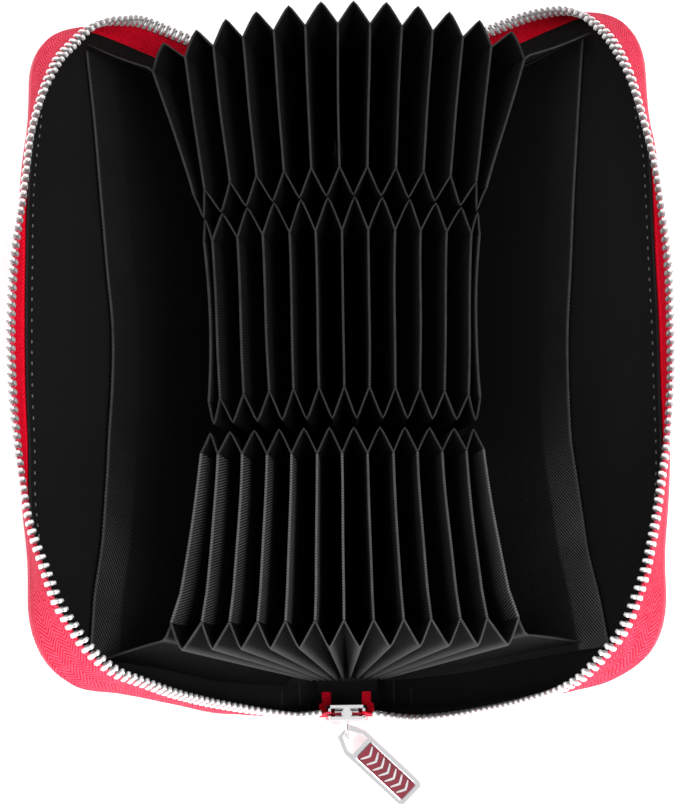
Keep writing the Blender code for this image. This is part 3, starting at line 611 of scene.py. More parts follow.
def twill(
    name, dark, light, edge_light, pitch=0.72 * MM, slant=1.2, sheen=0.02, gloss=0.1, band=None, ridge=None,
    near=None,
):
    """Black twill: ribs that lean from the free edge, which carries a painted highlight.

    band is (depth, softness, share): below that depth the cloth keeps only this share of its light tone,
    painted light near the free edge over painted shade deeper down.
    ridge is (reach, tone): the cloth is paler beside a fold that lies at the first coordinate's zero, a
    painted highlight.
    near is (from, to, share): between these places along the spine the light tone falls to this share,
    painted light that fades away from the near end.
    """
    n = Nodes(name, dark, 0.8)
    along, down = n.weave()
    drift = n.ramp(n.noise(60.0, 3.0), 0.3, 0.7, -0.5, 0.5)
    lean = n.math("ADD", along, n.math("MULTIPLY", down, slant))
    ribs = n.math("SINE", n.math("ADD", n.math("MULTIPLY", lean, FULL_TURN / pitch), drift))
    counter = n.math("SUBTRACT", n.math("MULTIPLY", along, slant), down)
    yarn = n.math("SINE", n.math("MULTIPLY", counter, FULL_TURN / (1.3 * pitch)))
    height = n.math("ADD", n.math("MULTIPLY", ribs, 0.5), n.math("MULTIPLY", yarn, 0.12))
    fine = n.noise(2600.0, 2.0)
    cloud = n.ramp(n.noise(45.0, 3.0), 0.3, 0.7, 0.6, 1.25)
    share = n.math("MULTIPLY", n.ramp(height, -0.25, 0.5), cloud, clamp=True)
    # Painted light near the free edge and painted shade below the band's depth
    if band:
        depth, softness, rest = band
        share = n.math("MULTIPLY", share, n.ramp(down, -depth - softness, softness - depth, rest, 1.0))
    # Painted light that fades along the spine away from the near end
    if near:
        low, high, rest = near
        share = n.math("MULTIPLY", share, n.ramp(n.axis(1), low, high, 1.0, rest))
    tone = n.blend(share, dark, light)
    # Painted highlight along the fold
    if ridge:
        reach, ridge_tone = ridge
        fold = n.math("POWER", n.ramp(n.math("ABSOLUTE", along), 0.0, reach, 1.0, 0.0), 2.0)
        tone = n.blend(n.math("MULTIPLY", fold, n.ramp(height, -0.6, 0.6, 0.7, 1.0)), tone, ridge_tone)
    # Painted highlight along the free edge, broken up by noise and by the ribs
    edge_highlight = n.ramp(down, -0.75 * MM, -0.4 * MM)
    edge_highlight = n.math("MULTIPLY", edge_highlight, n.ramp(n.noise(220.0, 3.0), 0.25, 0.7, 0.6, 1.0), clamp=True)
    edge_highlight = n.math("MULTIPLY", edge_highlight, n.ramp(ribs, -1.0, 0.6, 0.45, 1.0))
    n.color(n.blend(edge_highlight, tone, edge_light))
    n.roughness(n.ramp(fine, 0.3, 0.7, 0.7, 0.9))
    n.sheen(sheen, 0.45, BLACK_SHEEN)
    n.gloss(gloss)
    n.bump(n.math("ADD", height, n.math("MULTIPLY", fine, 0.25)), 0.4, 0.14 * MM)
    return n.material


HERRINGBONE_COLUMN = 2.1 * MM
HERRINGBONE_RIB = 0.72 * MM
HERRINGBONE_SLOPE = 1.25


def tape_material(name, dark, light, sheen, gloss):
    """Red zip tape: herringbone ribs that turn from column to column."""
    n = Nodes(name, light, 0.75)
    along, across = n.weave()
    zigzag = n.math("PINGPONG", across, HERRINGBONE_COLUMN)
    drift = n.ramp(n.noise(220.0, 4.0), 0.3, 0.7, -1.3, 1.3)
    pitch = HERRINGBONE_RIB * math.sqrt(1 + HERRINGBONE_SLOPE**2)
    lean = n.math("ADD", along, n.math("MULTIPLY", zigzag, HERRINGBONE_SLOPE))
    ribs = n.math("SINE", n.math("ADD", n.math("MULTIPLY", lean, FULL_TURN / pitch), drift))
    cross = n.math("SINE", n.math("MULTIPLY", across, FULL_TURN / (HERRINGBONE_COLUMN / 4)))
    height = n.math("ADD", n.math("MULTIPLY", ribs, 0.5), n.math("MULTIPLY", cross, 0.12))
    patch = n.ramp(n.noise(500.0, 3.0), 0.3, 0.7, -0.2, 0.2)
    n.color(n.blend(n.ramp(n.math("ADD", height, patch), -0.45, 0.45), dark, light))
    fine = n.noise(3000.0, 2.0)
    n.roughness(n.ramp(fine, 0.3, 0.7, 0.65, 0.85))
    n.sheen(sheen, 0.5, RED_SHEEN)
    n.gloss(gloss)
    n.bump(n.math("ADD", height, n.math("MULTIPLY", fine, 0.3)), 0.7, 0.2 * MM)
    return n.material


def leather_material(name, dark, light):
    """Pebbled imitation leather."""
    n = Nodes(name, light, 0.45)
    wander = n.noise(400.0, 2.0)
    pebble = n.cells(1500.0)
    crease = n.ramp(pebble, 0.0, 0.12)
    broad = n.ramp(n.noise(40.0, 3.0), 0.3, 0.7)
    # The creases between pebbles are painted darker, as shade
    n.color(n.blend(n.math("MULTIPLY", crease, n.ramp(broad, 0.0, 1.0, 0.8, 1.0)), dark, light))
    n.roughness(n.ramp(crease, 0.0, 1.0, 0.6, 0.4))
    n.gloss(0.5)
    n.bump(n.math("ADD", crease, n.math("MULTIPLY", wander, 0.6)), 0.35, 0.12 * MM)
    return n.material


# Painted shade on a tooth, by its weave: its near flank and a round hollow in its head, which the mesh
# doesn't have, are painted dark as shade and dark reflection. As shares of the way round: the flank's middle
# and where it fades, and the middle of the round hollow in the head, with its stretch. As lengths: where the
# flank begins, and the hollow's middle and where it fades.
FLANK_MIDDLE = 0.46
FLANK_FADE = (0.13 * RING_WEAVE, 0.18 * RING_WEAVE)
FLANK_START = (0.5 * MM, 0.8 * MM)
HOLLOW_AROUND = 0.21
HOLLOW_STRETCH = 2.4
HOLLOW_MIDDLE = 2.85 * MM
HOLLOW_FADE = (0.22 * MM, 0.42 * MM)


def metal_material(name, color, low, high, metallic=1.0, recess=None):
    """Bright plated metal with fine handling marks. recess is the tone of the painted shade on a tooth's
    flank and in the hollow of its head.
    """
    n = Nodes(name, color, low, metallic)
    if recess:
        run, around = n.weave()
        flank = n.math("ABSOLUTE", n.math("SUBTRACT", around, FLANK_MIDDLE * RING_WEAVE))
        flank = n.ramp(flank, *FLANK_FADE, 1.0, 0.0)
        flank = n.math("MULTIPLY", flank, n.ramp(run, *FLANK_START))
        side = n.math("SUBTRACT", n.math("MODULO", around, RING_WEAVE / 2), HOLLOW_AROUND * RING_WEAVE)
        side = n.math("MULTIPLY", side, HOLLOW_STRETCH)
        tip = n.math("SUBTRACT", run, HOLLOW_MIDDLE)
        hollow = n.math("SQRT", n.math("ADD", n.math("MULTIPLY", side, side), n.math("MULTIPLY", tip, tip)))
        hollow = n.ramp(hollow, *HOLLOW_FADE, 1.0, 0.0)
        # Painted shade on the flank and in the head's hollow
        n.color(n.blend(n.math("MAXIMUM", flank, hollow), color, recess))
    marks = n.noise(900.0, 4.0)
    n.roughness(n.ramp(marks, 0.35, 0.75, low, high))
    n.bump(n.noise(500.0, 2.0), 0.06, 0.05 * MM)
    return n.material


def enamel_material(name, dark, light):
    n = Nodes(name, light, 0.2)
    n.color(n.blend(n.ramp(n.noise(300.0, 3.0), 0.3, 0.7), dark, light))
    n.shader.inputs["Coat Weight"].default_value = 0.35
    n.shader.inputs["Coat Roughness"].default_value = 0.08
    n.bump(n.noise(700.0, 2.0), 0.08, 0.05 * MM)
    return n.material


def board_material(name, dark, light):
    n = Nodes(name, light, 0.9)
    n.color(n.blend(n.ramp(n.noise(1200.0, 4.0), 0.3, 0.7), dark, light))
    n.bump(n.noise(2500.0, 2.0), 0.2, 0.05 * MM)
    return n.material


def thread_material(name, dark, light):
    """Twisted sewing thread."""
    n = Nodes(name, light, 0.6)
    along, around = n.weave()
    twist = n.math("SINE", n.math("MULTIPLY", n.math("ADD", along, around), FULL_TURN / (0.35 * MM)))
    n.color(n.blend(n.ramp(twist, -1.0, 1.0), dark, light))
    n.sheen(0.3, 0.4, WHITE)
    n.bump(twist, 0.3, 0.05 * MM)
    return n.material


def grey(tone):
    """A nearly black grey, a little warm."""
    return (tone, tone * 0.97, tone * 0.98, 1.0)


# How far the painted highlight beside a fold reaches on the pleats and on the side gussets
PLEAT_RIDGE = 2.4 * MM
SIDE_RIDGE = 1.6 * MM
# Lit and shaded copies of one leaf cloth: the left leaves keep a painted light band below their top edges,
# the right leaves a dimmer band as painted shade, and the middle and far rows a darker copy as painted shade
LEAF_LOOK = {"pitch": 0.72 * MM, "slant": 0.3, "sheen": 0.0, "band": (7.0 * MM, 1.5 * MM, 0.05)}
LEAF_CLOTH = twill("leaf_twill_lit_left", grey(0.004), grey(0.085), grey(0.1), **LEAF_LOOK)
LEAF_SHADED_RIGHT = twill("leaf_twill_shaded_right", grey(0.003), grey(0.022), grey(0.075), **LEAF_LOOK)
LEAF_SHADED_FAR = twill("leaf_twill_shaded_far", grey(0.0035), grey(0.009), grey(0.04), **LEAF_LOOK)
# Lit and shaded copies of the pleat cloth: the far pleats are a darker copy as painted shade, the left pleats
# are painted darker than the right ones, and each fold carries a painted highlight
PLEAT_SHADED_FAR = twill("pleat_twill_shaded_far", grey(0.0025), grey(0.006), grey(0.035), sheen=0.0, gloss=0.05)
PLEAT_LOOK = {"sheen": 0.0, "gloss": 0.04}
PLEAT_CLOTH = {
    -1: twill("pleat_twill_shaded_left", grey(0.002), grey(0.006), grey(0.07), ridge=(PLEAT_RIDGE, grey(0.07)),
              **PLEAT_LOOK),
    1: twill("pleat_twill_lit_right", grey(0.005), grey(0.014), grey(0.07), ridge=(PLEAT_RIDGE, grey(0.09)),
             **PLEAT_LOOK),
}
# Side gusset cloth painted very dark as the shade of the fold it sags into, darker on the left than on the
# right, with a painted highlight along its fold
SIDE_CLOTH = {
    -1: twill("side_twill_shaded_left", grey(0.002), grey(0.005), grey(0.04), ridge=(SIDE_RIDGE, grey(0.04)),
              **PLEAT_LOOK),
    1: twill("side_twill_shaded_right", grey(0.004), grey(0.016), grey(0.05), ridge=(SIDE_RIDGE, grey(0.045)),
             **PLEAT_LOOK),
}
LINING_CLOTH = twill("lining_twill", grey(0.0025), grey(0.0065), grey(0.02))
# Slip pocket cloth: a painted light band along the top edge over painted shade below it, fading along the
# spine away from the near end; the right pocket's band is painted lighter than the left one
POCKET_LOOK = {"pitch": 1.25 * MM, "slant": -1.45, "band": (9.8 * MM, 0.6 * MM, 0.22)}
POCKET_CLOTH = {
    -1: twill("pocket_twill_left", grey(0.003), grey(0.038), grey(0.06), near=(-60 * MM, -22 * MM, 0.16),
              **POCKET_LOOK),
    1: twill("pocket_twill_right", grey(0.004), grey(0.085), grey(0.06), near=(-52 * MM, -8 * MM, 0.08),
             **POCKET_LOOK),
}
# Lit and shaded copies of one tape: the inner face's deeper, purer red is painted shade with red light
# bounced from the tape itself
TAPE_CLOTH = tape_material("zip_tape_herringbone", (0.48, 0.01, 0.032, 1), (0.8, 0.07, 0.125, 1), 0.02, 0.1)
TAPE_SHADED_INNER = tape_material("zip_tape_shaded_inner", (0.62, 0.002, 0.012, 1), (0.95, 0.012, 0.04, 1), 0.0, 0.0)
LEATHER = leather_material("pebbled_red_leather", (0.48, 0.02, 0.05, 1), (0.78, 0.07, 0.125, 1))
# The teeth carry painted shade on their flanks and in the hollows of their heads
TOOTH_METAL_PAINTED_SHADE = metal_material("tooth_metal_painted_shade", (0.92, 0.92, 0.92, 1), 0.35, 0.5, 0.65, (0.3, 0.28, 0.28, 1))
STOP_METAL = metal_material("stop_metal", (0.93, 0.93, 0.92, 1), 0.3, 0.42)
SLIDER_METAL = metal_material("slider_metal", (0.8, 0.8, 0.81, 1), 0.1, 0.22)
PULL_METAL = metal_material("pull_metal", (0.66, 0.66, 0.68, 1), 0.1, 0.2)
ENAMEL = enamel_material("dark_red_enamel", (0.1, 0.002, 0.01, 1), (0.17, 0.004, 0.018, 1))
BOARD = board_material("grey_board", (0.2, 0.185, 0.16, 1), (0.27, 0.25, 0.22, 1))
BLACK_THREAD = thread_material("black_thread", (0.04, 0.039, 0.038, 1), (0.14, 0.135, 0.13, 1))
RED_THREAD = thread_material("red_thread", (0.45, 0.01, 0.03, 1), (0.85, 0.05, 0.1, 1))


# Accordion

def leaf_body(number):
    return "spine" if number == 0 else f"leaf_{number + LEAVES_PER_SIDE:02d}"


def leaf_point(number, along, radius, row):
    """A point of the bowed fan. Halves between whole numbers lie midway between two leaves."""
    angle = number * curve_at(SPREAD_DEGREES, along) + ROW_SWAY_DEGREES[row]
    outer = max(0.0, abs(number) - (LEAVES_PER_SIDE - 1))
    angle += math.copysign(outer, number) * curve_at(OUTER_DEGREES, along)
    flat = number * LEAF_STEP
    angle = mix(flat, math.radians(angle), ease(0.0, BOW_SHARE * LEAF_HEIGHT, radius))
    share = radius / LEAF_HEIGHT
    wave = noise.noise(Vector((number * 0.83 + 5.0, along * 42.0, share * 1.2)))
    x = number * LEAF_PITCH + radius * math.sin(angle) + LEAF_WAVE * wave * share * math.cos(angle)
    rise = LEAF_EDGE_WAVE * share * noise.noise(Vector((number * 1.31 - 3.0, along * 30.0, 8.0)))
    return Vector((x, along, LEAF_Z + (radius + rise) * math.cos(angle)))


def arched(place, number):
    """A place along the spine, from its three numbers in the tables above."""
    middle, arch, lean = place
    side = number / LEAVES_PER_SIDE
    return (middle + arch * side * side + lean * side) * MM


def row_end(row, way, number, radius):
    """Where a row ends along the spine: straight above the fold, and moved along an arch at the top."""
    flat = row_middle(row) + way * POCKET_WIDTH / 2
    top = arched(ROW_ENDS[row][way > 0], number)
    return mix(flat, top, ease(0.0, TOP_SHARE * LEAF_HEIGHT, radius))


def pleat_tip(row, way, number, radius):
    flat = row_middle(row) + way * (POCKET_WIDTH / 2 + GUSSET_PEAK)
    top = arched(PLEAT_TIPS[row][way > 0], number)
    return mix(flat, top, radius / LEAF_HEIGHT)


def row_middle(row):
    return (row - (ROWS - 1) / 2) * ROW_PITCH


def squash_to_leaf(item):
    """Gives the piece its own copy of its mesh."""
    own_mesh(item)


def second_material(item, material, chosen):
    item.data.materials.append(material)
    for face in item.data.polygons:
        if chosen(face):
            face.material_index = 1


def make_leaf(number):
    """One comb of three pocket walls on a common foot."""
    radii = [0.0, LEAF_FOOT]
    radii += [mix(LEAF_FOOT, LEAF_HEIGHT, (i + 1) / RADIUS_STEPS) for i in range(RADIUS_STEPS)]
    rows = []
    weave = []
    for radius in radii:
        line = []
        for row in range(ROWS):
            low, high = (row_end(row, way, number, radius) for way in (-1, 1))
            for i in range(FLAP_STEPS + 1):
                line.append(leaf_point(number, mix(low, high, i / FLAP_STEPS), radius, row))
        rows.append(line)
        weave.append([(math.copysign(point.y, -number * point.y), radius - LEAF_HEIGHT) for point in line])
    walls = ([True] * FLAP_STEPS + [False]) * ROWS
    name = f"card_leaf_{number + LEAVES_PER_SIDE:02d}"
    # Painted shade: the right leaves, all but the outermost, take the dimmer copy
    material = LEAF_CLOTH if number <= 0 or number == LEAVES_PER_SIDE else LEAF_SHADED_RIGHT
    leaf = grid_object(name, [(rows, weave)], material, lambda i, j: i == 0 or walls[j])
    thicken(leaf, LEAF_T, LEAF_EDGE_R, even=False)
    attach(leaf, leaf_body(number))
    if number:
        squash_to_leaf(leaf)
    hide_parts(f"leaf_{number + LEAVES_PER_SIDE:02d}")
    put_in_slot(leaf)
    declare_sheet([rows])
    # Painted shade: the middle and far rows take the darker copy
    second_material(leaf, LEAF_SHADED_FAR, lambda face: face.center.y > row_middle(0) + ROW_PITCH / 2)


def fold_share(t):
    """Height of a soft pointed fold: 0 at both ends, 1 in the middle."""
    side = math.sqrt((2 * t - 1) ** 2 + GUSSET_ROUND**2) - GUSSET_ROUND
    return 1 - side / (math.sqrt(1 + GUSSET_ROUND**2) - GUSSET_ROUND)


def make_slot_gussets(first):
    """The six pleats that close one slot at the two ends of each row."""
    grids = []
    middle = first + 0.5
    radii = [mix(LEAF_FOOT, LEAF_HEIGHT, i / RADIUS_STEPS) for i in range(RADIUS_STEPS + 1)]
    for row in range(ROWS):
        for way in (-1, 1):
            points = []
            weave = []
            for radius in radii:
                line = []
                tip = pleat_tip(row, way, middle, radius)
                for i in range(FOLD_STEPS + 1):
                    t = i / FOLD_STEPS
                    edge = row_end(row, way, first + t, radius)
                    line.append(leaf_point(first + t, mix(edge, tip, fold_share(t)), radius, row))
                points.append(line)
                lengths = lengths_along(line)
                ridge = lengths[FOLD_STEPS // 2]
                weave.append([(length - ridge, radius - LEAF_HEIGHT) for length in lengths])
            grids.append((points, weave))
    # Painted light: the left pleats take the darker copy, the right pleats the lighter one
    pleat_material = PLEAT_CLOTH[-1 if first < 0 else 1]
    item = grid_object(f"slot_pleats_{first + LEAVES_PER_SIDE:02d}", grids, pleat_material)
    thicken(item, GUSSET_T, GUSSET_EDGE_R, even=False)
    inner = first + 1 if first < 0 else first
    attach(item, leaf_body(inner))
    squash_to_leaf(item)
    put_in_slot(item)
    declare_sheet([points for points, _ in grids])
    # Painted shade: the far pleats take the darker copy
    second_material(item, PLEAT_SHADED_FAR, lambda face: face.center.y > row_middle(0))
    return item


def make_accordion():
    for number in range(-LEAVES_PER_SIDE, LEAVES_PER_SIDE + 1):
        make_leaf(number)
    pleats = [make_slot_gussets(first) for first in range(-LEAVES_PER_SIDE, LEAVES_PER_SIDE)]
    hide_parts(*[f"pocket_gusset_{strip}" for strip in range(2 * ROWS)])


make_accordion()


# Covers

def cover_matrix(hand):
    turn = Matrix.Rotation(hand * COVER_OPEN, 4, "Y")
    return Matrix.Translation((hand * HINGE_X, 0.0, HINGE_Z)) @ turn


def warped(hand, along, up, rise):
    """A place on the curled cover, in the cover's own frame."""
    curl = ease(*CURL_ALONG, -along) * ease(*CURL_UP, up)
    belly = ease(*BELLY_ALONG, along) * ease(*BELLY_UP, up) * ease(*BELLY_UP_END, up)
    low = ease(*LOW_RISE, rise)
    end = "far" if along > 0 else "near"
    corner = low * ease(*CORNER_ALONG, abs(along)) * MM
    out = corner * curve_at(CORNER_OUT[hand, end], up / MM)
    raised = corner * CORNER_RAISED[hand, end] * ease(*CORNER_UP, up)
    wave = low * curve_at(EDGE_WAVE[hand], along / MM) * MM * ease(*WAVE_UP, up)
    along += CURL_SHIFT * curl + BELLY * belly + math.copysign(out, along)
    return Vector((-hand * (rise + CURL_RISE * curl), along, up - CURL_DROP * curl + raised + wave))


def cover_point(hand, along, up, rise):
    """A point by its place along the spine, up the cover and above the slip pocket's face."""
    return cover_matrix(hand) @ warped(hand, along, up, rise)


def on_cover(item, side, hand, node=None, rise=-LEATHER_DEPTH):
    """The piece rides on its cover, takes its own copy of its mesh and hides the CAD part node; rise has no
    effect.
    """
    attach(item, side + "_cover")
    cover_point(hand, 0.0, 0.0, rise)
    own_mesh(item)
    if node:
        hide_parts(node)
    put_in_slot(item)


def blend_bend(item, hand, z):
    """Bakes the piece's place into its mesh; the piece doesn't bend with its cover."""
    end = cover_point(hand, 0.0, BEND_END, -LEATHER_DEPTH)
    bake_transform(item)


class EdgePath:
    """The free edge of a cover, from the spine at the near end round to the spine at the far end."""

    def __init__(self, start, end, inset=0.0):
        self.radius = COVER_CORNER_R - inset
        self.half = HALF_LENGTH - inset
        self.top = COVER_HEIGHT - inset
        self.start = start
        self.side = self.top - self.radius
        self.turn = self.radius * math.pi / 2
        self.front = 2 * (self.half - self.radius)
        self.near = self.side - start
        self.length = self.near + 2 * self.turn + self.front + self.side - end

    def edge(self, s):
        """The point (along, up) at a length s of the edge, and the way out of the cover there."""
        middle = self.half - self.radius
        if s <= self.near:
            return (-self.half, self.start + s), (-1.0, 0.0)
        s -= self.near
        if s <= self.turn:
            angle = math.pi - s / self.radius
            out = (math.cos(angle), math.sin(angle))
            return (-middle + self.radius * out[0], self.side + self.radius * out[1]), out
        s -= self.turn
        if s <= self.front:
            return (-middle + s, self.top), (0.0, 1.0)
        s -= self.front
        if s <= self.turn:
            angle = math.pi / 2 - s / self.radius
            out = (math.cos(angle), math.sin(angle))
            return (middle + self.radius * out[0], self.side + self.radius * out[1]), out
        s -= self.turn
        return (self.half, self.side - s), (1.0, 0.0)

    def point(self, s, proud, rise, hand):
        """A point at a distance beyond the edge and above the slip pocket's face, on the open cover."""
        (along, up), out = self.edge(s)
        return cover_point(hand, along + out[0] * proud, up + out[1] * proud, rise)


def tape_section(path, s, hand):
    """The tape's bend, the chain's root and the teeth's way there, as (beyond the edge, above the face)."""
    mark = (path.start + s) / MM
    reach = curve_at(TOOTH_REACH, mark) * MM
    proud = min(curve_at(TOOTH_LINE[hand], mark) * MM, TAPE_REACH_LIMIT * reach)
    middle = Vector((proud, math.sqrt(reach * reach - proud * proud) - TAPE_DEPTH))
    bend = Vector((curve_at(TAPE_BEND, mark) * MM, -TAPE_DEPTH))
    way = (middle - bend).normalized()
    return bend, middle - way * TOOTH_MIDDLE, way


def chain_frame(path, s, hand):
    """The chain's root, and the ways along the tape, along its teeth and through its thickness."""
    _, foot, way = tape_section(path, s, hand)
    root = path.point(s, foot.x, foot.y, hand)
    tip = path.point(s, foot.x + way.x * MM, foot.y + way.y * MM, hand)
    across = (tip - root).normalized()
    ends = []
    for step in (-MM, MM):
        _, near, _ = tape_section(path, s + step, hand)
        ends.append(path.point(s + step, near.x, near.y, hand))
    along = ends[1] - ends[0]
    along = (along - across * along.dot(across)).normalized()
    return root, along, across, along.cross(across)


def chain_lengths(path, pitch, hand):
    """Lengths along the edge that put marks at an even pitch along the chain's root."""
    def root(s):
        _, foot, _ = tape_section(path, s, hand)
        return path.point(s, foot.x, foot.y, hand)

    table = [(0.0, 0.0)]
    last = root(0.0)
    for i in range(1, PATH_SAMPLES + 1):
        s = path.length * i / PATH_SAMPLES
        place = root(s)
        table.append((table[-1][0] + (place - last).length, s))
        last = place
    lengths = []
    row = 0
    for i in range(int(table[-1][0] / pitch)):
        mark = i * pitch
        while table[row + 1][0] < mark:
            row += 1
        before, after = table[row], table[row + 1]
        lengths.append(mix(before[1], after[1], (mark - before[0]) / (after[0] - before[0])))
    return lengths


def panel_columns(half, radius, straight, bend):
    """Places along the spine for a panel's columns, closer together at its round corners."""
    middle = half - radius
    edge = [middle + radius * math.sin(math.pi / 2 * i / bend) for i in range(1, bend + 1)]
    inside = [mix(-middle, middle, i / straight) for i in range(straight + 1)]
    return [-x for x in reversed(edge)] + inside + edge


def panel_top(along, top, half, radius):
    """The height of a panel with two round corners, at one place along the spine."""
    over = max(0.0, abs(along) - (half - radius))
    return top - radius + math.sqrt(max(0.0, radius * radius - over * over))


def panel_rows(half, radius, grid, point):
    """Rows of points up a panel with round corners, each from its place on the spine and share of height."""
    straight, bend, lines = grid
    columns = panel_columns(half, radius, straight, bend)
    return [[point(along, i / lines) for along in columns] for i in range(lines + 1)]


def stitches(name, frames, material, length=STITCH_LENGTH, width=STITCH_W, height=STITCH_H):
    """Sewn stitches. Each frame is (middle, along, across, outward)."""
    lofts = []
    for middle, along, across, outward in frames:
        rings = []
        for share, size in ((-0.5, 0.25), (-0.38, 0.8), (0.0, 1.0), (0.38, 0.8), (0.5, 0.25)):
            center = middle + along * (share * length) + outward * (height * (size - 0.55))
            rings.append(oval(center, across, outward, width / 2 * size, height / 2 * size, 6))
        lofts.append(rings)
    return ring_object(name, lofts, material)


def stitch_frames(hand, inset, rise, start, outward_sign):
    """Stitches at an even pitch beside the cover's edge."""
    path = EdgePath(start, start, inset)
    frames = []
    for i in range(int(path.length / STITCH_PITCH)):
        s = (i + 0.5) * STITCH_PITCH
        middle = path.point(s, 0.0, rise, hand)
        along = (path.point(s + MM, 0.0, rise, hand) - path.point(s - MM, 0.0, rise, hand)).normalized()
        across = (path.point(s, MM, rise, hand) - middle).normalized()
        outward = along.cross(across).normalized()
        facing = cover_matrix(hand).to_3x3() @ Vector((-hand * outward_sign, 0.0, 0.0))
        if outward.dot(facing) < 0:
            outward.negate()
        frames.append((middle, along, outward.cross(along), outward))
    return frames


def make_lining(side, hand):
    half = HALF_LENGTH - LINING_INSET
    radius = COVER_CORNER_R - LINING_INSET

    def point(along, share):
        up = mix(LINING_FOOT, panel_top(along, COVER_HEIGHT - LINING_INSET, half, radius), share)
        swell = LINING_SWELL * noise.noise(Vector((along * 38.0, up * 38.0, 2.0 + hand)))
        return cover_point(hand, along, up, -LINING_DEPTH + swell)

    rows = panel_rows(half, radius, LINING_GRID, point)
    lining = grid_object(side + "_lining_cloth", [(rows, measured(rows))], LINING_CLOTH)
    thicken(lining, LINING_T, CLOTH_EDGE_R)
    on_cover(lining, side, hand, side + "_cover_lining")
    declare_sheet([rows])
    frames = stitch_frames(hand, LINING_STITCH_INSET, -LINING_DEPTH + LINING_T / 2, LINING_STITCH_START, 1)
    frames = [frame for frame in frames if abs(frame[0].y) < HALF_LENGTH - COVER_CORNER_R]
    row = stitches(side + "_lining_stitches", frames, BLACK_THREAD, LINING_STITCH_LENGTH, 0.5 * MM, 0.3 * MM)
    on_cover(row, side, hand)


def make_board(side, hand):
    """The stiffener between lining and leather, which curls with the cover."""
    half = HALF_LENGTH - BOARD_INSET
    radius = COVER_CORNER_R - BOARD_INSET

    def point(along, share):
        top = panel_top(along, COVER_HEIGHT - BOARD_INSET, half, radius)
        return cover_point(hand, along, mix(BOARD_FOOT, top, share), -BOARD_DEPTH)

    rows = panel_rows(half, radius, BOARD_GRID, point)
    board = grid_object(side + "_board", [(rows, measured(rows))], BOARD)
    thicken(board, BOARD_T)
    on_cover(board, side, hand, side + "_cover_board")


def make_slip_pocket(side, hand):
    """The flat pocket on the cover's inner face, whose top edge stands a little off it."""
    columns = 44
    lines = 18
    rows = []
    weave = []
    for i in range(lines + 1):
        line = []
        places = []
        for j in range(columns + 1):
            along = mix(-POCKET_HALF, POCKET_HALF, j / columns)
            top = curve_at(POCKET_TOP[hand], along / MM) * MM
            share = i / lines
            up = mix(POCKET_FOOT, top, share)
            middle = 1 - (along / POCKET_HALF) ** 2
            lift = POCKET_LIFT + POCKET_BULGE * middle * share * share
            lift += POCKET_RUCK * share * noise.noise(Vector((along * 30.0, up * 30.0, 9.0 + hand)))
            line.append(cover_point(hand, along, up, lift))
            places.append((-hand * along, up - top))
        rows.append(line)
        weave.append(places)
    pocket = grid_object(side + "_pocket_cloth", [(rows, weave)], POCKET_CLOTH[hand])
    thicken(pocket, POCKET_T, 0.2 * MM)
    on_cover(pocket, side, hand, side + "_slip_pocket")
    declare_sheet([rows])


def skin_point(hand, along, up):
    """A point of the leather's middle plane, a little puffed away from the cover's rim."""
    top = panel_top(along, COVER_HEIGHT, HALF_LENGTH, COVER_CORNER_R)
    rim = min(1.0, (top - up) / SKIN_RIM, (HALF_LENGTH - abs(along)) / SKIN_RIM)
    puff = SKIN_PUFF * ease(0.0, 1.0, rim)
    puff += SKIN_SWELL * noise.noise(Vector((along * 30.0, up * 30.0, 4.0 + hand)))
    return cover_point(hand, along, up, -LEATHER_DEPTH - puff)


def make_cover_skin(side, hand):
    """The leather of one cover, and the strip that bends from it round the edge of the spine."""
    def point(along, share):
        top = panel_top(along, COVER_HEIGHT, HALF_LENGTH, COVER_CORNER_R)
        return skin_point(hand, along, mix(SPINE_STRIP, top, share))

    rows = panel_rows(HALF_LENGTH, COVER_CORNER_R, SKIN_GRID, point)
    skin = grid_object(side + "_leather_skin", [(rows, measured(rows))], LEATHER)
    thicken(skin, LEATHER_T, LEATHER_ROUND, segments=3)
    on_cover(skin, side, hand, side + "_cover_leather")
    columns = panel_columns(HALF_LENGTH, COVER_CORNER_R, *SKIN_GRID[:2])
    rows = [
        [Vector((hand * (SPINE_HALF_W + x * MM), along, SPINE_T / 2 + z * MM)) for along in columns]
        for x, z in SPINE_BEND
    ]
    for up in [up * MM for up in SPINE_BEND_UP] + [SPINE_STRIP]:
        rows.append([skin_point(hand, along, up) for along in columns])
    strip = grid_object(side + "_spine_fold", [(rows, measured(rows))], LEATHER)
    thicken(strip, LEATHER_T, LEATHER_ROUND, segments=3, even=False)
    blend_bend(strip, hand, SPINE_T / 2)
    put_in_slot(strip)
    frames = stitch_frames(hand, STITCH_INSET, -LEATHER_DEPTH - LEATHER_T / 2, STITCH_START, -1)
    on_cover(stitches(side + "_leather_stitches", frames, RED_THREAD), side, hand)


def tape_profile(bend, root):
    """The tape's section, from its seam under the lining round to its free edge."""
    points = [(-TAPE_SEAM, -TAPE_DEPTH), (0.0, -TAPE_DEPTH)]
    for i in range(1, TAPE_STEPS + 1):
        t = i / TAPE_STEPS
        points.append(tuple(
            a * (1 - t) ** 2 + 2 * b * t * (1 - t) + c * t * t
            for a, b, c in zip((0.0, -TAPE_DEPTH), bend, root)
        ))
    return points


def inner_face(item, flip):
    """The tape's face toward the wallet gets the deeper red of the shaded copy, painted shade."""
    materials = [TAPE_CLOTH, TAPE_SHADED_INNER]
    if flip:
        materials.reverse()
    item.data.materials.clear()
    for material in materials:
        item.data.materials.append(material)
    item.modifiers["thickness"].material_offset = 1


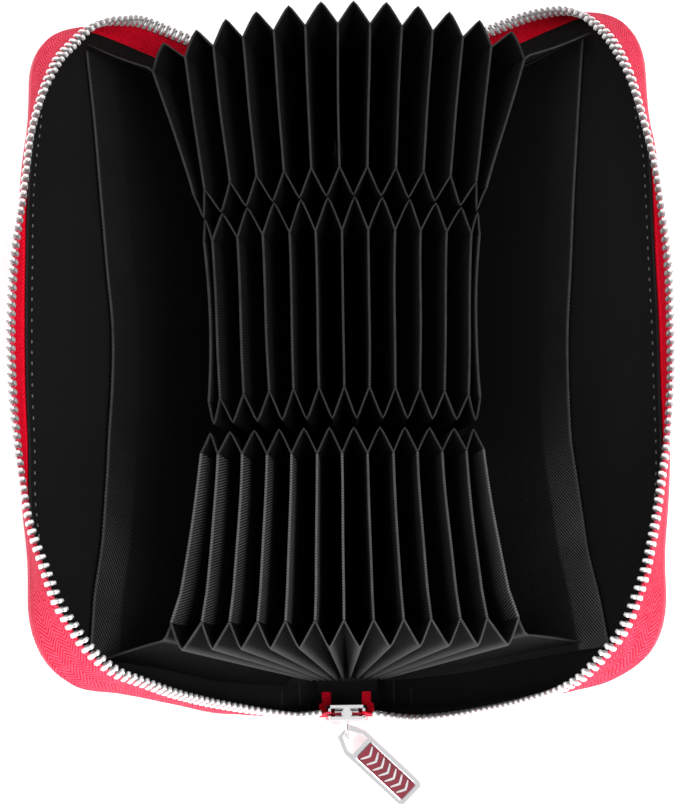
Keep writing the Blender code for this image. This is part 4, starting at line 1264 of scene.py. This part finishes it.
def make_tape(side, hand):
    path = EdgePath(TAPE_FOOT, TAPE_FOOT)
    rows = []
    weave = []
    for i in range(TAPE_COLUMNS + 1):
        s = path.length * i / TAPE_COLUMNS
        bend, root, _ = tape_section(path, s, hand)
        line = [path.point(s, a, b, hand) for a, b in tape_profile(bend, root)]
        rows.append(line)
        weave.append([(s, length) for length in lengths_along(line)])
    tape = grid_object(side + "_tape_cloth", [(rows, weave)], TAPE_CLOTH)
    thicken(tape, TAPE_T, CLOTH_EDGE_R)
    inner_face(tape, hand > 0)
    on_cover(tape, side, hand, side + "_zip_tape")
    declare_sheet([rows])


def black_hem(name, rows):
    hem = grid_object(name, [(rows, measured(rows))], LINING_CLOTH)
    thicken(hem, HEM_T, HEM_EDGE_R, even=False)
    return hem


def make_hem(side, hand):
    """Black cloth that covers the foot of the tape's inner face along the near edge: partly a hem, partly a
    dark sheet that stands in for the shade there.
    """
    path = EdgePath(TAPE_FOOT, TAPE_FOOT)
    rows = []
    for i in range(HEM_COLUMNS + 1):
        s = HEM_LENGTH * i / HEM_COLUMNS
        bend, root, _ = tape_section(path, s, hand)
        profile = [Vector(point) for point in tape_profile(bend, root)]
        share = HEM_SHARE * (1 - ease(0.5, 1.0, i / HEM_COLUMNS))
        line = [path.point(s, HEM_FOOT[0], -TAPE_DEPTH + HEM_FOOT[1], hand)]
        for k in range(HEM_POINTS):
            place = 1 + TAPE_STEPS * share * k / (HEM_POINTS - 1)
            low = min(int(place), len(profile) - 2)
            point = profile[low].lerp(profile[low + 1], place - low)
            ahead = (profile[low + 1] - profile[low]).normalized()
            inside = Vector((-ahead.y, ahead.x)) * HEM_GAP
            line.append(path.point(s, point.x + inside.x, point.y + inside.y, hand))
        rows.append(line)
    on_cover(black_hem(side + "_tape_hem", rows), side, hand)


def make_lining_fold(side, hand):
    """The lining where it bends from the spine up the cover."""
    columns = panel_columns(HALF_LENGTH - 1.2 * MM, COVER_CORNER_R, 30, 2)
    rows = [[Vector((hand * x * MM, along, z * MM)) for along in columns] for x, z in LINING_BEND_SPINE]
    rows += [
        [cover_point(hand, along, up * MM, -LINING_DEPTH + LINING_T / 2 + lift * MM) for along in columns]
        for up, lift in LINING_BEND_COVER
    ]
    fold = black_hem(side + "_lining_fold", rows)
    blend_bend(fold, hand, SPINE_T)
    put_in_slot(fold)


# A tooth's sections: how far beyond the chain's root, and half its width and thickness there, in mm
TOOTH_SECTIONS = (
    (-0.42, 0.50, 0.62), (-0.36, 0.66, 0.86), (-0.05, 0.74, 1.00), (0.75, 0.75, 1.02), (1.15, 0.70, 0.96),
    (1.55, 0.52, 0.78), (1.95, 0.50, 0.74), (2.35, 0.60, 0.82), (2.80, 0.58, 0.78), (3.08, 0.42, 0.58),
    (3.18, 0.18, 0.30),
)
TOOTH_SIDES = 12
TOOTH_SQUARENESS = 0.6


def tooth_rings(root, along, across, through):
    """One zip tooth: two legs that clamp the tape's cord, a neck and a round head; the hollow in the head is
    only painted shade in its material.
    """
    rings = []
    for reach, half_w, half_t in TOOTH_SECTIONS:
        center = root + across * (reach * MM)
        ring = []
        for k in range(TOOTH_SIDES):
            angle = FULL_TURN * (k + 0.5) / TOOTH_SIDES
            c, s = math.cos(angle), math.sin(angle)
            x = math.copysign(abs(c) ** TOOTH_SQUARENESS, c) * half_w * MM
            y = math.copysign(abs(s) ** TOOTH_SQUARENESS, s) * half_t * MM
            ring.append(center + along * x + through * y)
        rings.append(ring)
    return rings


def make_chain(side, hand):
    """The teeth on their cord."""
    path = EdgePath(CHAIN_START, CHAIN_END)
    lofts = [tooth_rings(*chain_frame(path, s, hand)) for s in chain_lengths(path, TOOTH_PITCH, hand)]
    chain = ring_object(side + "_teeth", lofts, TOOTH_METAL_PAINTED_SHADE)
    on_cover(chain, side, hand, side + "_zip_chain")
    path = EdgePath(CHAIN_START - CORD_START, CHAIN_END - CORD_START)
    rings = []
    for i in range(CORD_STEPS + 1):
        root, _, across, through = chain_frame(path, path.length * i / CORD_STEPS, hand)
        rings.append(oval(root, across, through, CORD_R, CORD_R, 8))
    on_cover(ring_object(side + "_tape_cord", [rings], TAPE_CLOTH), side, hand)


def make_side_gusset(side, hand, end, way):
    """A panel from the outer leaf round a small fold to the cover, with a lapped layer below its top edge."""
    number = hand * LEAVES_PER_SIDE
    row = ROWS - 1 if way > 0 else 0
    cover_along, cover_up = (value * MM for value in SIDE_GUSSET_ENDS[hand, end])

    def panel(top_drop, inward):
        rows = []
        weave = []
        for i in range(SIDE_GUSSET_LINES + 1):
            share = i / SIDE_GUSSET_LINES
            line = []
            radius = mix(SIDE_GUSSET_FOOT, LEAF_HEIGHT - SIDE_GUSSET_TOP_GAP - top_drop, share)
            leaf_y = row_end(row, way, number, radius)
            at_leaf = leaf_point(number, leaf_y - way * SIDE_GUSSET_TUCK, radius, row)
            at_fold = leaf_point(number + hand * SIDE_FOLD, leaf_y + way * SIDE_FOLD_REACH[end], radius, row)
            up = mix(SIDE_GUSSET_FOOT, cover_up - top_drop, share)
            at_cover = cover_point(hand, cover_along, up, SIDE_GUSSET_LIFT)
            for j in range(SIDE_GUSSET_COLUMNS + 1):
                t = j / SIDE_GUSSET_COLUMNS
                if t < SIDE_FOLD_SHARE:
                    point = at_leaf.lerp(at_fold, t / SIDE_FOLD_SHARE)
                else:
                    t = (t - SIDE_FOLD_SHARE) / (1 - SIDE_FOLD_SHARE)
                    point = at_fold.lerp(at_cover, t)
                    sag = math.sin(math.pi * t)
                    point.z -= SIDE_SAG_DOWN * sag * share
                    point.y -= way * SIDE_SAG_OUT * sag
                point.y -= way * inward
                line.append(point)
            rows.append(line)
            fold = (at_fold - at_leaf).length
            weave.append([
                (length - fold, (share - 1) * SIDE_GUSSET_WEAVE - top_drop) for length in lengths_along(line)
            ])
        return rows, weave

    panels = [panel(0.0, 0.0), panel(SIDE_GUSSET_LAP, SIDE_GUSSET_LAYER)]
    item = grid_object(f"side_gusset_cloth_{side}_{end}", panels, SIDE_CLOTH[hand])
    thicken(item, SIDE_GUSSET_T, CLOTH_EDGE_R, even=False)
    node = f"side_gusset_{side}_{end}"
    on_cover(item, side, hand, node, SIDE_GUSSET_RISE)
    declare_sheet([rows for rows, _ in panels])


for cover_side, cover_hand in (("left", -1), ("right", 1)):
    make_lining(cover_side, cover_hand)
    make_board(cover_side, cover_hand)
    make_slip_pocket(cover_side, cover_hand)
    make_cover_skin(cover_side, cover_hand)
    make_tape(cover_side, cover_hand)
    make_hem(cover_side, cover_hand)
    make_lining_fold(cover_side, cover_hand)
    make_chain(cover_side, cover_hand)
    for gusset_end, gusset_way in (("near", -1), ("far", 1)):
        make_side_gusset(cover_side, cover_hand, gusset_end, gusset_way)


# Spine

FLAT_COLUMNS = 16
FLAT_LINES = 60
SPINE_MARGIN = 0.2 * MM
FLAT_EDGE_R = 0.12 * MM


def flat_sheet(name, x_low, x_high, y_low, y_high, z, material, crease=0.0):
    rows = []
    for i in range(FLAT_LINES + 1):
        y = mix(y_low, y_high, i / FLAT_LINES)
        line = []
        for j in range(FLAT_COLUMNS + 1):
            x = mix(x_low, x_high, j / FLAT_COLUMNS)
            line.append(Vector((x, y, z + crease * noise.noise(Vector((x * 120.0, y * 50.0, 1.0))))))
        rows.append(line)
    return grid_object(name, [(rows, measured(rows))], material)


def make_spine():
    reach = SPINE_HALF_W - SPINE_MARGIN
    skin = flat_sheet("spine_skin", -reach, reach, -HALF_LENGTH, HALF_LENGTH, SPINE_T / 2, LEATHER)
    thicken(skin, SPINE_T - 0.04 * MM, 0.35 * MM)
    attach(skin, "spine")
    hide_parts("spine_leather")
    put_in_slot(skin)
    for node, name in (("spine_lining", "spine_cloth"), ("accordion_base", "accordion_foot_cloth")):
        low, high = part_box(node)
        cloth = flat_sheet(name, low.x, high.x, low.y, high.y, (low.z + high.z) / 2, LINING_CLOTH, 0.12 * MM)
        thicken(cloth, (high.z - low.z) * 0.8, FLAT_EDGE_R)
        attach(cloth, "spine")
        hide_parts(node)
        put_in_slot(cloth)


make_spine()


# Zip near the slider

SLIDER_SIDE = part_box("zip_slider")[1].x
LEG_X = 4.4 * MM
LEG_Z = SLIDER_HIGH.z + 0.3 * MM
END_TAPE_HALF_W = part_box("zip_end_tape")[1].x
END_TAPE_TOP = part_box("zip_end_tape")[1].z
SEAM_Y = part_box("zip_end_tape")[1].y
SEAM_Z = 1.7 * MM
TAIL_COLUMNS = 12
TAIL_TURN_R = 1.5 * MM
TAIL_MIDDLE = (3.0 * MM, 5.0 * MM)
TAIL_MIDDLE_TOP = 3.4 * MM
TAIL_CREASE = 0.1 * MM
# Cloth over the tail: its name, half its width, its near edge beyond the zip and its height
TAIL_CLOTHS = (
    ("tail_cloth", 4.6 * MM, 1.4 * MM, 2.45 * MM),
    ("tail_hem", END_TAPE_HALF_W + 0.6 * MM, 7.1 * MM, 2.95 * MM),
)
WEB_STEPS = 14
WEB_SAG = 0.9 * MM
WEB_FOOT_Z = 4.0 * MM
WEB_TOOTH_ROOM = 0.9 * MM
LEG_TOOTH_WAY = (-0.2, 0.12, 0.97)
WEB_HEM_STEPS = 10
WEB_HEM_X = 8.2 * MM
WEB_HEM_BULGE = 2.6 * MM
# The web hem's section on the cover (beyond the edge, above the face), which goes on along the tape, and
# its sections at the spine and halfway (along the spine, up), in mm
WEB_HEM_SEAM = ((-5.0, -0.9), (-1.2, -0.9))
WEB_HEM_MIDDLE = ((-90.0, 3.0), (-94.6, 3.2), (-96.1, 4.2), (-96.6, 7.4), (-96.7, 9.4))
WEB_HEM_INNER = ((-90.0, 2.5), (-94.6, 2.6), (-96.2, 3.6), (-96.6, 6.8), (-96.6, 9.0))
# The closed zip: half its width and thickness, how far below the stop's top it starts and above the
# slider's foot it ends, where its blend starts and ends within it, half the width of its teeth, and its
# section as shares
CLOSED_HALF_W = 4.2 * MM
CLOSED_HALF_T = 0.9 * MM
CLOSED_FOOT = 1.0 * MM
CLOSED_REACH = 8.5 * MM
CLOSED_STEPS = 30
CLOSED_TEETH = (1.5 * MM, 1.6 * MM)
CLOSED_SECTION = (
    (1.0, 0.25), (0.35, 0.35), (0.3, 1.0), (-0.3, 1.0), (-0.35, 0.35), (-1.0, 0.25),
    (-1.0, -0.25), (-0.35, -0.35), (-0.3, -1.0), (0.3, -1.0), (0.35, -0.35), (1.0, -0.25),
)
CLOSED_METAL = (0.86, 0.86, 0.87, 1)
# Painted shade in the gaps between the meshed teeth
CLOSED_GAP_SHADE = (0.05, 0.05, 0.05, 1)
CLOSED_RED = (0.6, 0.015, 0.045, 1)


def make_end_tape():
    """The tape's tail: up behind the slider, folded onto the spine, with lining cloth over its middle."""
    rows = []
    for i in range(TAIL_COLUMNS + 1):
        x = mix(-END_TAPE_HALF_W, END_TAPE_HALF_W, i / TAIL_COLUMNS)
        line = [Vector((x, SEAM_Y, SEAM_Z)), Vector((x, mix(SEAM_Y, ZIP_Y, 0.5), SEAM_Z))]
        line += [
            Vector((x, ZIP_Y + TAIL_TURN_R * (1 - math.sin(a)), SEAM_Z + TAIL_TURN_R * (1 - math.cos(a))))
            for a in (math.pi / 2 * k / 4 for k in range(5))
        ]
        top = mix(END_TAPE_TOP, TAIL_MIDDLE_TOP, 1 - ease(*TAIL_MIDDLE, abs(x)))
        line += [Vector((x, ZIP_Y, mix(SEAM_Z + TAIL_TURN_R, top, t))) for t in (0.4, 0.75, 1.0)]
        rows.append(line)
    weave = [[(length, point.x) for length, point in zip(lengths_along(line), line)] for line in rows]
    # The tail takes the tape's shaded copy, painted shade
    tape = grid_object("tape_tail", [(rows, weave)], TAPE_SHADED_INNER)
    thicken(tape, TAPE_T, FLAT_EDGE_R)
    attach(tape, "spine")
    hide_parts("zip_end_tape")
    put_in_slot(tape)
    for name, reach, low, height in TAIL_CLOTHS:
        far = SEAM_Y + TAIL_TURN_R
        cover = flat_sheet(name, -reach, reach, ZIP_Y + low, far, height, LINING_CLOTH, TAIL_CREASE)
        thicken(cover, 0.45 * MM, FLAT_EDGE_R)
        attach(cover, "spine")
        put_in_slot(cover)


def make_web_hem(side, hand, path):
    """Black cloth from the spine's near end round the hinge to the tape's hem, over the web's foot: partly a
    hem, partly a dark sheet that stands in for the shade there.
    """
    bend, foot, _ = tape_section(path, 0.0, hand)
    profile = tape_profile(bend, foot)
    seam = [(proud * MM, rise * MM) for proud, rise in WEB_HEM_SEAM]
    seam += [(profile[k][0] - HEM_GAP, profile[k][1] + HEM_GAP) for k in (2, 4, 5)]
    outer = [path.point(0.0, proud, rise, hand) for proud, rise in seam]
    rows = []
    for i in range(WEB_HEM_STEPS + 1):
        t = i / WEB_HEM_STEPS
        line = []
        for point, (inner_y, inner_z), (middle_y, middle_z) in zip(outer, WEB_HEM_INNER, WEB_HEM_MIDDLE):
            first = Vector((hand * WEB_HEM_X, inner_y * MM, inner_z * MM))
            bent = Vector((hand * (WEB_HEM_X + WEB_HEM_BULGE), middle_y * MM, middle_z * MM))
            line.append(first * (1 - t) ** 2 + bent * (2 * t * (1 - t)) + point * t * t)
        rows.append(line)
    hem = black_hem(side + "_web_hem", rows)
    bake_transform(hem)
    put_in_slot(hem)


def make_zip_web(side, hand):
    """The free tape and teeth between the slider's mouth and the cover."""
    path = EdgePath(CHAIN_START, CHAIN_END)
    root, _, across, _ = chain_frame(path, 0.0, hand)
    bend, foot, _ = tape_section(path, 0.0, hand)
    outer = [path.point(0.0, proud, rise, hand) for proud, rise in tape_profile(bend, foot)[2:]]
    inner_low = Vector((hand * SLIDER_SIDE, ZIP_Y, WEB_FOOT_Z))
    inner_high = Vector((hand * LEG_X, ZIP_Y, LEG_Z))
    rows = []
    for i in range(WEB_STEPS + 1):
        t = i / WEB_STEPS
        line = []
        for k, point in enumerate(outer):
            place = inner_low.lerp(inner_high, k / (len(outer) - 1)).lerp(point, t)
            place.z -= WEB_SAG * math.sin(math.pi * t)
            line.append(place)
        rows.append(line)
    web = grid_object(side + "_tape_web", [(rows, measured(rows))], TAPE_CLOTH)
    thicken(web, TAPE_T, HEM_EDGE_R, even=False)
    inner_face(web, hand > 0)
    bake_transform(web)
    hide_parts(side + "_zip_leg")
    make_web_hem(side, hand, path)
    put_in_slot(web)
    lofts = []
    start_across = Vector((hand * LEG_TOOTH_WAY[0], *LEG_TOOTH_WAY[1:])).normalized()
    travel = root - inner_high
    count = int(travel.length / TOOTH_PITCH)
    for i in range(count + 1):
        t = (i + 0.1) / (count + 1)
        center = inner_high.lerp(root, t)
        center.z -= WEB_SAG * math.sin(math.pi * t)
        if abs(center.x) < SLIDER_SIDE + WEB_TOOTH_ROOM:
            continue
        way = start_across.lerp(across, t).normalized()
        side_way = (travel.normalized() - way * travel.normalized().dot(way)).normalized()
        lofts.append(tooth_rings(center, side_way, way, side_way.cross(way)))
    teeth = ring_object(side + "_leg_teeth", lofts, TOOTH_METAL_PAINTED_SHADE)
    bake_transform(teeth)
    put_in_slot(teeth)


def closed_zip_material():
    """Meshed teeth as rungs between two strips of red tape, with painted shade in the gaps between the rungs.
    """
    n = Nodes("closed_zip", CLOSED_METAL, 0.2, 1.0)
    inside = n.ramp(n.math("ABSOLUTE", n.axis(0)), *CLOSED_TEETH)
    rungs = n.math("SINE", n.math("MULTIPLY", n.axis(2), FULL_TURN / (TOOTH_PITCH / 2)))
    metal = n.blend(n.ramp(rungs, -0.9, -0.3), CLOSED_GAP_SHADE, CLOSED_METAL)
    n.color(n.blend(inside, metal, CLOSED_RED))
    n.link(n.math("SUBTRACT", 1.0, inside), n.shader.inputs["Metallic"])
    n.roughness(n.ramp(inside, 0.0, 1.0, 0.2, 0.8))
    n.bump(rungs, 0.6, 0.3 * MM)
    return n.material


def make_closed_zip():
    """The closed stretch below the slider."""
    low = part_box("zip_bottom_stop")[1].z - CLOSED_FOOT
    high = SLIDER_LOW.z + CLOSED_REACH
    rings = []
    for i in range(CLOSED_STEPS + 1):
        z = mix(low, high, i / CLOSED_STEPS)
        rings.append([Vector((CLOSED_HALF_W * c, ZIP_Y + CLOSED_HALF_T * s, z)) for c, s in CLOSED_SECTION])
    stub = ring_object("closed_zip", [rings], closed_zip_material())
    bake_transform(stub)
    put_in_slot(stub)


make_end_tape()
make_zip_web("left", -1)
make_zip_web("right", 1)
make_closed_zip()


# Rigid pieces that keep their own shape

def dress(node, material, bevel, segments=2):
    item = NODES[node]
    put_in_slot(item, material)
    round_edges(item, bevel, segments, 40, False)


dress("zip_slider", SLIDER_METAL, 0.22 * MM, 3)
dress("pull_frame", PULL_METAL, 0.25 * MM, 3)
dress("zip_bottom_stop", STOP_METAL, 0.15 * MM)
dress("pull_inlay", ENAMEL, 0.08 * MM)
for cover_side in ("left", "right"):
    dress(cover_side + "_top_stop", STOP_METAL, 0.3 * MM)


# Raised chevrons on the pull's inlay

TAB_YAW = math.radians(46.0)
TAB_OFFSET = 0.75 * MM
TAB_T = 1.6 * MM
TAB_LENGTH = 27.0 * MM
TAB_HALF_W = 4.5 * MM
TAB_GAP = 0.3 * MM
CHEVRONS = 7
CHEVRON_PLACES = (9.2 * MM, 23.6 * MM)
CHEVRON_HEIGHTS = (0.55 * MM, 0.82 * MM)
CHEVRON_SHIFT = 0.6 * MM
CHEVRON_TAPER = 0.7
# A chevron's line: places across and along the tab, and half its width there, in mm
CHEVRON_LINE = ((-2.5, 0.0, 0.3), (-1.2, 0.75, 0.52), (0.0, 1.35, 0.52), (1.2, 0.75, 0.52), (2.5, 0.0, 0.3))


def make_chevrons():
    pivot = Vector(JOINTS["pull_swing"]["pos_m"])
    reach = TAB_LENGTH * math.cos(TAB_YAW) + (TAB_HALF_W + TAB_OFFSET) * math.sin(TAB_YAW)
    slope = math.asin((pivot.z - TAB_GAP - TAB_T / 2) / reach)
    matrix = Matrix.Translation(pivot) @ Matrix.Rotation(slope, 4, "X")
    matrix = matrix @ Matrix.Rotation(math.pi + TAB_YAW, 4, "Z") @ Matrix.Translation((TAB_OFFSET, 0.0, 0.0))
    bottom, top = CHEVRON_HEIGHTS
    lofts = []
    for i in range(CHEVRONS):
        y = mix(*CHEVRON_PLACES, i / (CHEVRONS - 1))
        rings = []
        for x, lift, half_w in CHEVRON_LINE:
            half = half_w * MM
            center = y + lift * MM - CHEVRON_SHIFT
            corners = (
                (center - half, bottom), (center + half, bottom),
                (center + half * CHEVRON_TAPER, top), (center - half * CHEVRON_TAPER, top),
            )
            rings.append([matrix @ Vector((x * MM, along, height)) for along, height in corners])
        lofts.append(rings)
    motif = ring_object("pull_chevrons", lofts, SLIDER_METAL)
    for face in motif.data.polygons:
        face.use_smooth = False
    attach(motif, "zip_pull")
    put_in_slot(motif)


make_chevrons()


# Floor and light

FLOOR_SIZE = 6.0
FLOOR_GREY = (0.93, 0.93, 0.93, 1)
FLOOR_GLOW = 0.1
LIGHT_TARGET = (0.0, 0.0, 0.05)
# Each lamp's name, place, size and power
LIGHTS = (
    ("key", (0.6, -0.5, 1.1), (0.6, 0.6), 11.0),
    ("fill", (-0.8, 0.3, 0.9), (0.9, 0.9), 3.0),
    ("front", (0.1, -1.1, 0.35), (1.3, 0.5), 12.0),
)
# The sky's strength rises with the height of the direction
SKY = {"From Min": -0.05, "From Max": 0.45, "To Min": 0.3, "To Max": 0.95}


def make_floor():
    n = Nodes("pale_floor", FLOOR_GREY, 0.9)
    n.shader.inputs["Emission Color"].default_value = WHITE
    n.shader.inputs["Emission Strength"].default_value = FLOOR_GLOW
    n.gloss(0.1)
    bpy.ops.mesh.primitive_plane_add(size=FLOOR_SIZE)
    floor = bpy.context.object
    floor.name = "floor"
    floor.data.materials.append(n.material)


def make_light(name, place, size, power):
    data = bpy.data.lights.new(name, "AREA")
    data.shape = "RECTANGLE"
    data.size, data.size_y = size
    data.energy = power
    lamp = bpy.data.objects.new(name, data)
    bpy.context.scene.collection.objects.link(lamp)
    lamp.location = place
    lamp.rotation_euler = (Vector(LIGHT_TARGET) - Vector(place)).to_track_quat("-Z", "Y").to_euler()


def make_world():
    world = bpy.data.worlds.new("studio")
    bpy.context.scene.world = world
    world.use_nodes = True
    tree = world.node_tree
    background = tree.nodes["Background"]
    background.inputs["Color"].default_value = WHITE
    place = tree.nodes.new("ShaderNodeTexCoord")
    split = tree.nodes.new("ShaderNodeSeparateXYZ")
    height = tree.nodes.new("ShaderNodeMapRange")
    height.interpolation_type = "SMOOTHSTEP"
    for key, value in SKY.items():
        height.inputs[key].default_value = value
    tree.links.new(place.outputs["Generated"], split.inputs[0])
    tree.links.new(split.outputs["Z"], height.inputs["Value"])
    tree.links.new(height.outputs[0], background.inputs["Strength"])


bpy.context.scene.view_settings.view_transform = "Standard"
make_floor()
make_world()
for light in LIGHTS:
    make_light(*light)
